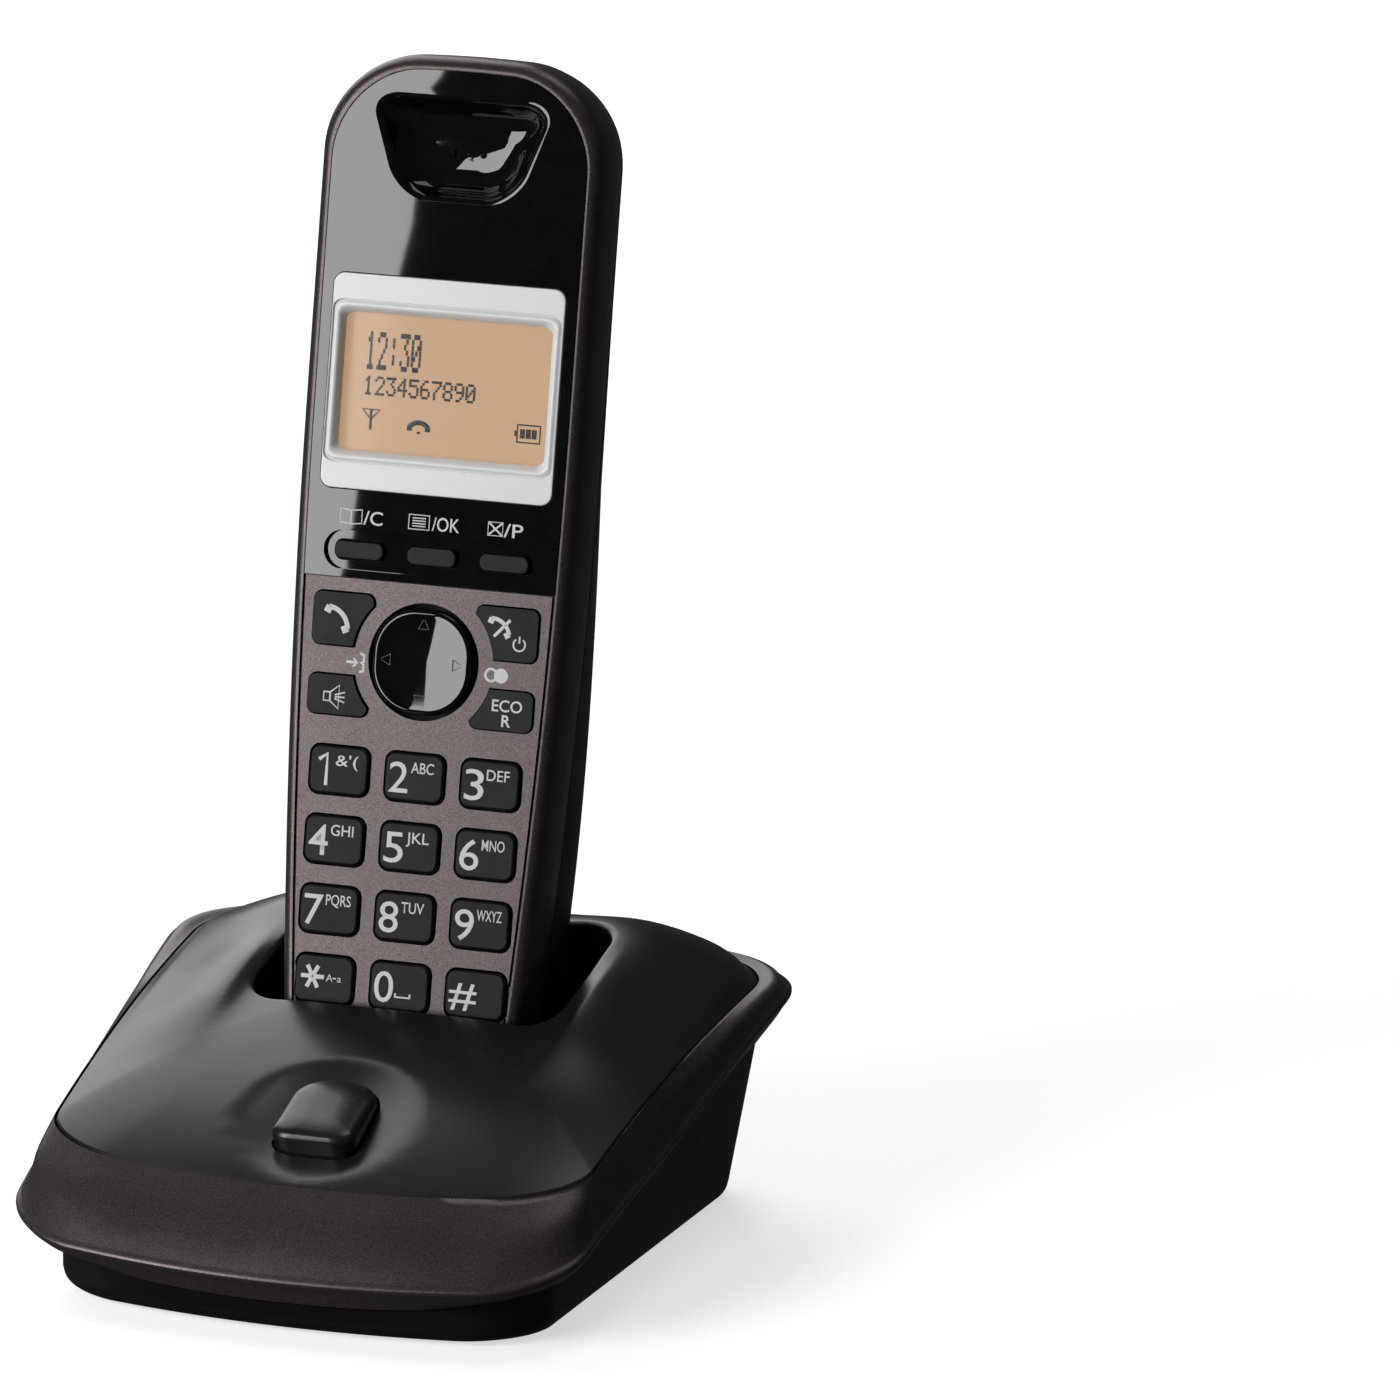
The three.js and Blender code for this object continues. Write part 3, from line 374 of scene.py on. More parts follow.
def combine(piece, tools, way="DIFFERENCE"):
    """Cuts tools away from a piece, joins them to it, or keeps what they share."""
    for tool in tools:
        apply_modifier(piece, "BOOLEAN", operation=way, object=tool, solver="EXACT")
        bpy.data.objects.remove(tool)
    return piece


def unit_outline(low_corner, high_corner, along_x, along_y, corner_steps):
    """An outline in a 2 x 2 square. Each corner is a quarter ellipse of the given half axes."""
    points = []

    def corner(sx, sy, half_axes, start):
        rx, ry = half_axes
        for i in range(corner_steps + 1):
            angle = start + i / corner_steps * math.pi / 2
            x = sx * (1 - rx) + rx * math.cos(angle)
            points.append((x, sy * (1 - ry) + ry * math.sin(angle)))

    def edge(first, last, steps):
        for i in range(1, steps):
            t = i / steps
            points.append((first[0] + t * (last[0] - first[0]), first[1] + t * (last[1] - first[1])))

    lx, ly = low_corner
    hx, hy = high_corner
    corner(1, 1, high_corner, 0)
    edge((1 - hx, 1), (hx - 1, 1), along_x)
    corner(-1, 1, high_corner, math.pi / 2)
    edge((-1, 1 - hy), (-1, ly - 1), along_y)
    corner(-1, -1, low_corner, math.pi)
    edge((lx - 1, -1), (1 - lx, -1), along_x)
    corner(1, -1, low_corner, 1.5 * math.pi)
    edge((1, ly - 1), (1, 1 - hy), along_y)
    return points


def drawn_shell(rings, ends=True):
    """Draws a closed form up from a circle: each ring is pulled out of the last and set to its own points."""
    bpy.ops.mesh.primitive_circle_add(vertices=len(rings[0]), radius=1)
    piece = bpy.context.object
    edit_mode()
    mesh = bmesh.from_edit_mesh(piece.data)
    mesh.verts.ensure_lookup_table()
    order = mesh.verts.layers.int.new("order")
    for i, vertex in enumerate(mesh.verts):
        vertex[order] = i

    def set_ring(points):
        mesh = bmesh.from_edit_mesh(piece.data)
        order = mesh.verts.layers.int["order"]
        for vertex in mesh.verts:
            if vertex.select:
                vertex.co = points[vertex[order]]
        bmesh.update_edit_mesh(piece.data)

    bpy.ops.mesh.select_mode(type="EDGE")
    bpy.ops.mesh.select_all(action="SELECT")
    set_ring(rings[0])
    if ends:
        bpy.ops.mesh.edge_face_add()
    for ring in rings[1:]:
        bpy.ops.mesh.extrude_edges_move()
        set_ring(ring)
    if ends:
        bpy.ops.mesh.edge_face_add()
    bpy.ops.mesh.select_all(action="SELECT")
    bpy.ops.mesh.normals_make_consistent(inside=False)
    object_mode()
    layer = piece.data.attributes.get("order")
    piece.data.attributes.remove(layer)
    return piece


def through(rings, steps, sharp=()):
    """More rings between the given ones, on a smooth curve that breaks at the sharp ones."""
    made = []
    last = len(rings) - 1
    for k in range(last):
        before = rings[k - 1] if k > 0 and k not in sharp else None
        after = rings[k + 2] if k + 2 <= last and k + 1 not in sharp else None
        for i in range(steps):
            t = i / steps
            made.append([spline_point(before, rings[k], rings[k + 1], after, n, t)
                         for n in range(len(rings[k]))])
    made.append(rings[last])
    return made


def spline_point(before, first, second, after, n, t):
    p1, p2 = Vector(first[n]), Vector(second[n])
    p0 = Vector(before[n]) if before else 2 * p1 - p2
    p3 = Vector(after[n]) if after else 2 * p2 - p1
    d01, d12, d23 = ((b - a).length + 1e-6 for a, b in ((p0, p1), (p1, p2), (p2, p3)))
    m1 = (p1 - p0) / d01 - (p2 - p0) / (d01 + d12) + (p2 - p1) / d12
    m2 = (p2 - p1) / d12 - (p3 - p1) / (d12 + d23) + (p3 - p2) / d23
    m1, m2 = m1 * d12, m2 * d12
    t2, t3 = t * t, t * t * t
    return tuple((2 * t3 - 3 * t2 + 1) * p1 + (t3 - 2 * t2 + t) * m1
                 + (3 * t2 - 2 * t3) * p2 + (t3 - t2) * m2)


def paint_where(piece, material, test):
    """Gives the faces that pass a test their own material."""
    piece.data.materials.append(material)
    index = len(piece.data.materials) - 1
    for face in piece.data.polygons:
        if test(face):
            face.material_index = index


def done(piece, name, place, material, body, replaces=(), smooth=30, bevel=0):
    """Names a piece, softens its edges, puts it in its place and lets it ride on its body."""
    piece.name = name
    piece.data.name = name
    if not piece.data.materials:
        piece.data.materials.append(material)
    elif piece.data.materials[0] is None:
        piece.data.materials[0] = material
    if bevel:
        apply_modifier(piece, "BEVEL", width=bevel, segments=2, limit_method="ANGLE",
                       angle_limit=math.radians(40), use_clamp_overlap=True)
    activate(piece)
    bpy.ops.object.shade_smooth_by_angle(angle=math.radians(smooth))
    apply_modifier(piece, "WEIGHTED_NORMAL", keep_sharp=True)
    piece.data.transform(place)
    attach(piece, body)
    if replaces:
        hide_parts(*replaces)
    bpy.ops.object.select_all(action="DESELECT")
    return piece


def merge(pieces):
    """Several pieces made one object, each keeping its materials."""
    bpy.ops.object.select_all(action="DESELECT")
    for piece in pieces:
        piece.select_set(True)
    bpy.context.view_layer.objects.active = pieces[0]
    bpy.ops.object.join()
    return pieces[0]


# ---- Print: letters and small signs ----
PRINT_THICK = 0.03


def lettering(text, height, left, low, top, bold=0.0, width=None):
    """Text whose capitals are height tall, from its left edge and base line, and width wide if given."""
    bpy.ops.object.text_add()
    piece = bpy.context.object
    words = piece.data
    words.body = text
    words.size = height / 0.729
    words.offset = bold
    words.extrude = PRINT_THICK
    words.resolution_u = 4
    bpy.ops.object.convert(target="MESH")
    piece = bpy.context.object
    edge = min(v.co.x for v in piece.data.vertices)
    stretch = width / (max(v.co.x for v in piece.data.vertices) - edge) if width else 1
    place = Matrix.Translation((left, low, top)) @ Matrix.Diagonal((stretch, 1, 1, 1))
    piece.data.transform(place @ Matrix.Translation((-edge, 0, 0)))
    return piece


def stroke(points, width, top, closed=False):
    """A line of even width along the points, lying on the face at top."""
    curve = bpy.data.curves.new("stroke", "CURVE")
    curve.dimensions = "3D"
    curve.bevel_depth = width / 2
    curve.bevel_resolution = 1
    curve.use_fill_caps = True
    line = curve.splines.new("POLY")
    line.points.add(len(points) - 1)
    line.use_cyclic_u = closed
    for point, (x, y) in zip(line.points, points):
        point.co = (x, y, 0, 1)
    piece = bpy.data.objects.new("stroke", curve)
    bpy.context.scene.collection.objects.link(piece)
    activate(piece)
    bpy.ops.object.convert(target="MESH")
    piece = bpy.context.object
    flat = 2 * PRINT_THICK / width
    piece.data.transform(Matrix.Translation((0, 0, top)) @ Matrix.Diagonal((1, 1, flat, 1)))
    return piece


def arc(centre, radius, start, end, steps=12):
    found = []
    for i in range(steps + 1):
        angle = math.radians(start + (end - start) * i / steps)
        found.append((centre[0] + radius * math.cos(angle), centre[1] + radius * math.sin(angle)))
    return found


def plate(width, height, at, top):
    return block(width, height, top - PRINT_THICK, top + PRINT_THICK, at=at)


def disc(radius, at, top):
    return rod(radius, top - PRINT_THICK, top + PRINT_THICK, at=at, sides=24)


def turned(points, centre, degrees):
    angle = math.radians(degrees)
    ca, sa = math.cos(angle), math.sin(angle)
    return [(centre[0] + x * ca - y * sa, centre[1] + x * sa + y * ca) for x, y in points]


def receiver(centre, size, degrees, top):
    """The sign of a handset: a bow with a block at each end."""
    bow = turned(arc((0, -0.62 * size), 0.8 * size, 50, 130), centre, degrees)
    ends = [turned([(s * 0.5 * size, 0.02 * size), (s * 0.42 * size, -0.2 * size)], centre, degrees)
            for s in (-1, 1)]
    return [stroke(bow, 0.17 * size, top)] + [stroke(end, 0.25 * size, top) for end in ends]


def print_piece(name, parts, place, body, material):
    piece = merge(parts)
    piece.data.materials.clear()
    return done(piece, name, place, material, body, smooth=30)


# ---- Handset shells ----
HANDSET_OUTLINE = unit_outline((0.42, 0.1), (0.64, 0.19), 8, 30, 26)


def handset_point(a, b, inset, w, slim=0.0):
    half = HANDSET_LENGTH / 2
    crown = 1.4 * a * a * max(0, b) ** 8
    inset = inset + slim * smoothstep(-0.7, 0.7, b)
    v = half + b * (half - inset) - crown
    under = max(0, 1 - v / WIDEST_AT)
    half_width = HANDSET_WIDTH / 2 * (1 - 0.177 * under * under) - inset
    return (a * half_width, v, w)


def handset_ring(inset, w, slim=0.0):
    return [handset_point(a, b, inset, w, slim) for a, b in HANDSET_OUTLINE]


def handset_prism(inset, low, high):
    return drawn_shell([handset_ring(inset, low), handset_ring(inset, high)])


def keep_above(piece, v):
    return combine(piece, [block(100, 200, -60, 60, at=(0, v + 100))], "INTERSECT")


def keep_below(piece, v):
    return combine(piece, [block(100, 200, -60, 60, at=(0, v - 100))], "INTERSECT")


def digit_place(index):
    return (index % 3 - 1) * COLUMN_PITCH, TOP_ROW_AT - index // 3 * ROW_PITCH


FUNCTION_KEYS = [
    ("talk_key", -1, 10.3, 1),
    ("off_key", 1, 10.7, 1),
    ("speaker_key", -1, 10.3, -1),
    ("recall_key", 1, 10.7, -1),
]


def function_block(side, width, rise, low, high, grow, rim=0):
    height = 8.5 if rise > 0 else 6.4
    outer = 0.397 * HANDSET_WIDTH
    at = (side * (outer - width / 2), NAV_AT + (5.75 if rise > 0 else -6.5))
    piece = block(width + 2 * grow, height + 2 * grow, low, high, at=at, corner=1.3 + grow)
    combine(piece, [rod(12.2 - grow, low - 1, high + 1, at=(0, NAV_AT), sides=128)])
    if rim:
        apply_modifier(piece, "BEVEL", width=rim, segments=3, limit_method="ANGLE",
                       angle_limit=math.radians(35), use_clamp_overlap=True)
    return piece


def front_case():
    profile = [(0.5, -FRONT_BAND), (0.2, -8.8), (0, -6.8), (0, -5.2), (0.08, -3.4), (0.25, -2.2),
               (0.6, -1.2), (1.1, -0.52), (1.6, -0.16), (2.1, 0)]
    piece = drawn_shell(through([handset_ring(i, w) for i, w in profile], 3))
    tools = [
        handset_prism(WALL + 0.5, -FRONT_BAND - 1, -PLATE - 1.4),
        keep_below(handset_prism(WALL + 0.5, -PLATE - 1.5, -PLATE), PANEL_FOOT - 1.5),
        keep_above(handset_prism(PANEL_INSET - 0.15, -PANEL_THICK - GAP, 1), PANEL_FOOT),
        keep_above(handset_prism(PANEL_INSET + 2.2, -5, 0), PANEL_FOOT + 1.2),
        rod(NAV_HOLE, -3, 1, at=(0, NAV_AT), sides=128),
        rod(0.6, -3, 1, at=(0, 5.2), sides=24),
        face_groove(),
    ]
    tools += [block(KEY_WIDTH + 0.5, KEY_HEIGHT + 0.5, -3, 1, at=digit_place(i), corner=1.9)
              for i in range(12)]
    tools += [function_block(side, width, rise, -3, 1, 0.25) for _, side, width, rise in FUNCTION_KEYS]
    combine(piece, tools)
    piece.data.materials.append(MOCHA)
    # Painted shade: the groove's faces get gloss black to stand in for the shadow in the channel.
    paint_where(piece, GLOSS_BLACK_AND_GROOVE_SHADE, painted_groove_shade)
    return done(piece, "handset_front", HANDSET_PLACE, MOCHA, "handset",
                ["handset_front_case"])


GROOVE = (2.35, 2.85)
GROOVE_DEEP = 0.5


def face_groove():
    """The narrow channel that runs round the keypad plate."""
    piece = handset_prism(GROOVE[0], -GROOVE_DEEP, 1)
    combine(piece, [handset_prism(GROOVE[1], -GROOVE_DEEP - 1, 2)])
    return keep_below(piece, PANEL_FOOT + 1)


def painted_groove_shade(face):
    """Whether a face lies in the groove round the foot of the keypad plate, where the gloss black is painted
    shade.
    """
    x, y, z = abs(face.center.x), face.center.y, face.center.z
    if z > -0.02 or z < -GROOVE_DEEP - 0.01 or y > PANEL_FOOT:
        return False
    under = max(0, 1 - y / WIDEST_AT)
    half = HANDSET_WIDTH / 2 * (1 - 0.177 * under * under)
    beside = half - GROOVE[1] - 0.1 < x < half - GROOVE[0] + 0.1
    below = GROOVE[0] - 0.1 < y < GROOVE[1] + 0.1 and x < half - GROOVE[0] + 0.1
    return beside or below


EAR_OUTLINE = unit_outline((0.5, 0.62), (0.34, 0.5), 10, 6, 22)


def ear_ring(inset, w):
    return [(a * (12.9 + 3 * b - inset), EAR_AT + b * (8.3 - 0.8 * inset), w) for a, b in EAR_OUTLINE]


def ear_cup_tool():
    levels = [(9.0, -4.5), (7.2, -4.42), (5.4, -4.1), (3.8, -3.4), (2.4, -2.4), (1.4, -1.35), (0.75, -0.55),
              (0.2, -0.12), (-0.4, 0.05), (-0.8, 0.6)]
    return drawn_shell(through([ear_ring(inset, w) for inset, w in levels], 4, sharp=(9,)))


def front_panel():
    piece = keep_above(handset_prism(PANEL_INSET, -PANEL_THICK, 0), PANEL_FOOT + 0.15)
    boss = drawn_shell([ear_ring(4.4, -5.5), ear_ring(1.8, -4), ear_ring(-1.0, -0.4)])
    combine(piece, [boss], "UNION")
    tools = [
        ear_cup_tool(),
        block(BEZEL_WIDTH + 0.3, BEZEL_HEIGHT + 0.3, -3, 1, at=(0, DISPLAY_AT), corner=2.1),
        block(0.761 * HANDSET_WIDTH, 6.3, -1, 1, at=(0, SOFT_KEYS_AT), corner=3.1, steps=12),
    ]
    tools += [block(9, 3.5, -3, 1, at=((i - 1) * SOFT_SPREAD, SOFT_KEYS_AT), corner=1.5) for i in range(3)]
    tools += [rod(0.6, -7, 1, at=(u, EAR_AT - 0.6), sides=20) for u in (-2.4, 0, 2.4)]
    combine(piece, tools)
    return done(piece, "handset_panel", HANDSET_PLACE, GLOSS_BLACK_AND_GROOVE_SHADE, "handset",
                ["front_panel"], bevel=0.12)


def bezel_frame():
    outline = unit_outline((0.1, 0.11), (0.1, 0.11), 4, 4, 10)

    def ring(width, height, w):
        return [(a * width / 2, DISPLAY_AT + b * height / 2, w) for a, b in outline]

    piece = drawn_shell([ring(BEZEL_WIDTH, BEZEL_HEIGHT, -1), ring(BEZEL_WIDTH, BEZEL_HEIGHT, 0.1),
                         ring(BEZEL_WIDTH - 0.14, BEZEL_HEIGHT - 0.14, 0.26),
                         ring(BEZEL_WIDTH - 0.5, BEZEL_HEIGHT - 0.5, 0.35)])
    lip = [(-1.5, 1.5), (-1.5, 0.05), (-1.32, -0.05), (-1.15, 0.1), (-0.9, 0.28), (-0.6, 0.33),
           (-0.3, 0.22), (-0.02, -0.1), (0.3, -0.6), (0.65, -1.3), (0.9, -2.2)]
    rings = [ring(WINDOW_WIDTH - 2 * inset, WINDOW_HEIGHT - 2 * inset, w) for inset, w in lip]
    combine(piece, [drawn_shell(through(rings, 3, sharp=(1, 2)))])
    return done(piece, "display_frame", HANDSET_PLACE, SILVER, "handset", ["display_bezel"])


# ---- Keys ----
def digit_key(index, label):
    cap = block(KEY_WIDTH, KEY_HEIGHT, -2.4, KEY_PROUD, corner=1.7, rim=0.55, rim_steps=4)
    flange = block(KEY_WIDTH, KEY_HEIGHT + 1.6, KEY_FOOT, -2.3, corner=1.7)
    piece = combine(cap, [flange], "UNION")
    u, v = digit_place(index)
    piece.data.transform(Matrix.Translation((u, v, 0)))
    name = "key_" + label
    return done(piece, name + "_cap", HANDSET_PLACE, KEY_BLACK, name, [name])


DIGITS = ["1", "2", "3", "4", "5", "6", "7", "8", "9", "star", "0", "hash"]
LETTERS = ["&'(", "ABC", "DEF", "GHI", "JKL", "MNO", "PQRS", "TUV", "WXYZ"]
LEGEND_TOP = KEY_PROUD + 0.005


def digit_legend(index, label):
    u, v = digit_place(index)
    low = v - 2.55
    if label == "star":
        spokes = [turned([(-2.0, 0), (2.0, 0)], (u - 2.0, v + 0.35), angle) for angle in (0, 62, 118)]
        parts = [stroke(points, 0.68, LEGEND_TOP) for points in spokes]
        parts.append(lettering("A", 1.25, u + 0.35, v - 0.25, LEGEND_TOP))
        parts.append(stroke([(u + 1.5, v + 0.3), (u + 2.1, v + 0.3)], 0.25, LEGEND_TOP))
        parts.append(lettering("a", 1.25, u + 2.3, v - 0.25, LEGEND_TOP))
    elif label == "hash":
        parts = [lettering("#", 4.5, u - 4.4, v - 2.1, LEGEND_TOP, bold=0.03, width=4.7)]
    elif label == "1":
        parts = [stroke([(u - 3.5, low + 4.1), (u - 2.1, low + 5.1), (u - 2.1, low)], 0.62, LEGEND_TOP)]
    else:
        parts = [lettering(label, 5.2, u - 4.3, low, LEGEND_TOP, bold=0.015, width=3.3)]
    if label == "0":
        tray = [(u - 0.6, v - 1.0), (u - 0.6, v - 1.6), (u + 1.9, v - 1.6), (u + 1.9, v - 1.0)]
        parts.append(stroke(tray, 0.36, LEGEND_TOP))
    if index < 9:
        letters = LETTERS[index]
        width = 4.3 if len(letters) == 4 else 3.9
        parts.append(lettering(letters, 1.85, u - 0.6, v + 0.75, LEGEND_TOP, bold=0.01, width=width))
    return print_piece("key_" + label + "_print", parts, HANDSET_PLACE, "key_" + label, PRINT_WHITE)


def function_key(name, side, width, rise):
    piece = function_block(side, width, rise, KEY_FOOT, KEY_PROUD, 0, rim=0.5)
    return done(piece, name + "_cap", HANDSET_PLACE, KEY_BLACK, name, [name])


def power_sign(centre, radius, top):
    ring = arc(centre, radius, 125, 415, 20)
    tick = [(centre[0], centre[1] + 0.25 * radius), (centre[0], centre[1] + 1.35 * radius)]
    return [stroke(ring, 0.3, top), stroke(tick, 0.3, top)]


def function_legends():
    top = LEGEND_TOP
    talk = receiver((-14.9, 73.6), 4.7, -45, top)
    print_piece("talk_key_print", talk, HANDSET_PLACE, "talk_key", PRINT_WHITE)
    off = receiver((12.9, 74.6), 3.9, -38, top)
    off.append(stroke([(11.9, 72.9), (14.5, 75.7)], 0.5, top))
    off += power_sign((16.3, 71.9), 1.0, top)
    print_piece("off_key_print", off, HANDSET_PLACE, "off_key", PRINT_WHITE)
    horn = [(-16.5, 60.1), (-15.4, 60.1), (-13.9, 58.9), (-13.9, 62.7), (-15.4, 61.5), (-16.5, 61.5)]
    speaker = [stroke(horn, 0.28, top, closed=True), stroke([(-15.4, 60.1), (-15.4, 61.5)], 0.28, top)]
    for lift in (-0.75, 0, 0.75):
        speaker.append(stroke([(-14.6, 60.8 + 0.4 * lift), (-12.9, 60.8 + 1.1 * lift)], 0.26, top))
    print_piece("speaker_key_print", speaker, HANDSET_PLACE, "speaker_key", PRINT_WHITE)
    recall = [lettering("ECO", 1.95, 12.4, 61.0, top, bold=0.03),
              lettering("R", 1.95, 14.2, 58.6, top, bold=0.05)]
    print_piece("recall_key_print", recall, HANDSET_PLACE, "recall_key", PRINT_WHITE)


def soft_key(index, name):
    cap = block(8.6, 3.1, -2.4, -0.1, corner=1.3, rim=0.4)
    piece = combine(cap, [block(10, 4.4, KEY_FOOT, -2.3, corner=1.6)], "UNION")
    piece.data.transform(Matrix.Translation(((index - 1) * SOFT_SPREAD, SOFT_KEYS_AT, 0)))
    return done(piece, name + "_cap", HANDSET_PLACE, KEY_BLACK, name, [name])


def nav_key():
    outline = unit_outline((0.86, 0.86), (0.86, 0.86), 2, 2, 26)
    levels = [(1, -2.2), (1, -1.0), (1, 0.3), (0.985, 0.7), (0.95, 1.0), (0.915, 1.1), (0.89, 1.08)]
    dish = [(r, 0.62 + 0.43 * (r / 0.87) ** 2) for r in (0.86, 0.8, 0.72, 0.62, 0.5, 0.38, 0.26, 0.14, 0.05)]
    rings = [[(a * r * NAV_KEY, NAV_AT + b * r * NAV_KEY, w) for a, b in outline] for r, w in levels + dish]
    piece = drawn_shell(through(rings, 2, sharp=(0,)))
    return done(piece, "nav_key_cap", HANDSET_PLACE, NAV_BLACK, "nav_key",
                ["nav_key"], smooth=40)


def nav_signs():
    parts = []
    for k in range(4):
        angle = math.radians(90 * k)
        centre = (6.1 * math.cos(angle), NAV_AT + 6.1 * math.sin(angle))
        corners = turned([(1.0, 0), (-0.75, 0.9), (-0.75, -0.9)], centre, 90 * k)
        parts.append(stroke(corners, 0.2, 0.97, closed=True))
    print_piece("nav_key_print", parts, HANDSET_PLACE, "nav_key", PRINT_GREY)


# ---- Signs printed on the front ----
def panel_print():
    top = 0.005
    book = [(-16, 88.95), (-14.15, 88.75), (-12.3, 88.95), (-12.3, 91.15), (-14.15, 90.95), (-16, 91.15)]
    parts = [stroke(book, 0.24, top, closed=True), stroke([(-14.15, 88.8), (-14.15, 90.9)], 0.24, top)]
    parts.append(lettering("/C", 2.3, -12.0, 88.85, top, bold=0.02, width=3.3))
    sheet_edge = [(-4.2, 88.85), (-0.7, 88.85), (-0.7, 91.15), (-4.2, 91.15)]
    parts.append(stroke(sheet_edge, 0.24, top, closed=True))
    for k in range(4):
        parts.append(stroke([(-3.6, 89.35 + 0.43 * k), (-1.3, 89.35 + 0.43 * k)], 0.2, top))
    parts.append(lettering("/OK", 2.3, -0.2, 88.85, top, bold=0.02, width=4.7))
    bell = [(9.4, 88.95), (11.9, 88.95), (11.9, 91.1), (9.4, 91.1)]
    parts.append(stroke(bell, 0.2, top, closed=True))
    parts += [stroke([(9.4, 88.95), (11.9, 91.1)], 0.3, top), stroke([(9.4, 91.1), (11.9, 88.95)], 0.3, top)]
    parts.append(lettering("/P", 2.3, 12.1, 88.85, top, bold=0.02, width=3.3))
    print_piece("panel_print", parts, HANDSET_PLACE, "handset", PRINT_WHITE)


def plate_print():
    top = 0.005
    parts = [stroke([(-13.2, 66.6), (-11.6, 66.6)], 0.42, top)]
    parts.append(stroke([(-12.0, 67.3), (-11.3, 66.6), (-12.0, 65.9)], 0.36, top))
    brace = [(-10.9, 68.1), (-10.2, 67.9), (-10.2, 66.8), (-10.7, 66.6), (-10.2, 66.4), (-10.2, 65.3),
             (-10.9, 65.1)]
    parts.append(stroke(brace, 0.45, top))
    parts.append(stroke(arc((11.7, 66.65), 0.98, 0, 345, 24), 0.42, top, closed=True))
    parts.append(disc(1.2, (13.4, 66.65), top))
    print_piece("plate_print", parts, HANDSET_PLACE, "handset", PRINT_WHITE)


# ---- Display: a dot matrix, five dots by seven ----
DOT_ROWS = {
    "0": "01110 10001 10011 10101 11001 10001 01110",
    "1": "00100 01100 00100 00100 00100 00100 01110",
    "2": "01110 10001 00001 00010 00100 01000 11111",
    "3": "11111 00010 00100 00010 00001 10001 01110",
    "4": "00010 00110 01010 10010 11111 00010 00010",
    "5": "11111 10000 11110 00001 00001 10001 01110",
    "6": "00110 01000 10000 11110 10001 10001 01110",
    "7": "11111 00001 00010 00100 01000 01000 01000",
    "8": "01110 10001 10001 01110 10001 10001 01110",
    "9": "01110 10001 10001 01111 00001 00010 01100",
    ":": "00000 00100 00100 00000 00100 00100 00000",
}
DOT_LEVEL = -2.36


def dot_line(text, left, low, step_u, step_v):
    dots = []
    for k, sign in enumerate(text):
        rows = DOT_ROWS[sign].split()
        for row in range(7):
            for column in range(5):
                if rows[row][column] == "1":
                    at = (left + (6 * k + column + 0.5) * step_u, low + (6.5 - row) * step_v)
                    dots.append((at, step_u * 1.3, step_v * 0.95))
    return dots


def display_dots():
    """Every dot is a copy of one small plate."""
    dots = dot_line("12:30", -14.5, 113.7, 0.325, 0.88) + dot_line("1234567890", -14.5, 109.6, 0.325, 0.44)
    mesh = bmesh.new()
    for at, width, height in dots:
        corners = [mesh.verts.new((at[0] + sx * width / 2, at[1] + sy * height / 2, DOT_LEVEL))
                   for sx, sy in ((-1, -1), (1, -1), (1, 1), (-1, 1))]
        mesh.faces.new(corners)
    data = bpy.data.meshes.new("dots")
    mesh.to_mesh(data)
    mesh.free()
    piece = bpy.data.objects.new("dots", data)
    bpy.context.scene.collection.objects.link(piece)
    apply_modifier(piece, "SOLIDIFY", thickness=0.03, offset=1)
    top = DOT_LEVEL
    mast = [stroke([(-14.4, 107.3), (-11.4, 107.3), (-12.9, 105.7)], 0.4, top, closed=True),
            stroke([(-12.9, 107.3), (-12.9, 104.0)], 0.45, top)]
    hook = [stroke(arc((-4.6, 103.7), 2.1, 40, 140), 0.8, top),
            stroke([(-6.6, 104.8), (-5.7, 104.8)], 0.8, top),
            stroke([(-3.5, 104.8), (-2.6, 104.8)], 0.8, top),
            stroke([(-4.6, 104.35), (-4.6, 104.0)], 0.6, top)]
    cell = [stroke([(12.3, 104.1), (16.2, 104.1), (16.2, 106.9), (12.3, 106.9)], 0.34, top, closed=True),
            plate(0.4, 0.9, (12.0, 105.5), top)]
    cell += [plate(0.85, 1.5, (13.2 + k, 105.5), top) for k in range(3)]
    print_piece("display_signs", [piece] + mast + hook + cell, HANDSET_PLACE, "handset", PRINT_DARK)


# ---- Handset, rear ----
REAR_LEVELS = [(9.8, 2, -HANDSET_DEPTH), (6.8, 2.6, 0.7 - HANDSET_DEPTH),
               (3.8, 3.2, 2.7 - HANDSET_DEPTH), (1.6, 3.6, 6 - HANDSET_DEPTH),
               (0.5, 2.6, 11 - HANDSET_DEPTH), (0.4, 0.9, 14.5 - HANDSET_DEPTH),
               (0.5, 0, -FRONT_BAND - GAP)]
SCREW_AT = [(side * 0.185 * HANDSET_WIDTH, EAR_AT - 2) for side in (-1, 1)]


def rear_block():
    rings = [handset_ring(inset, w, slim) for inset, slim, w in REAR_LEVELS]
    return drawn_shell(through(rings, 4))


def rear_hollow():
    last = len(REAR_LEVELS) - 1
    rings = []
    for i, (inset, slim, w) in enumerate(REAR_LEVELS):
        level = w + 1 if i == last else w + WALL * max(0, 1 - i / 4)
        rings.append(handset_ring(inset + (0.6 if i == 0 else WALL), level, slim))
    return drawn_shell(rings)


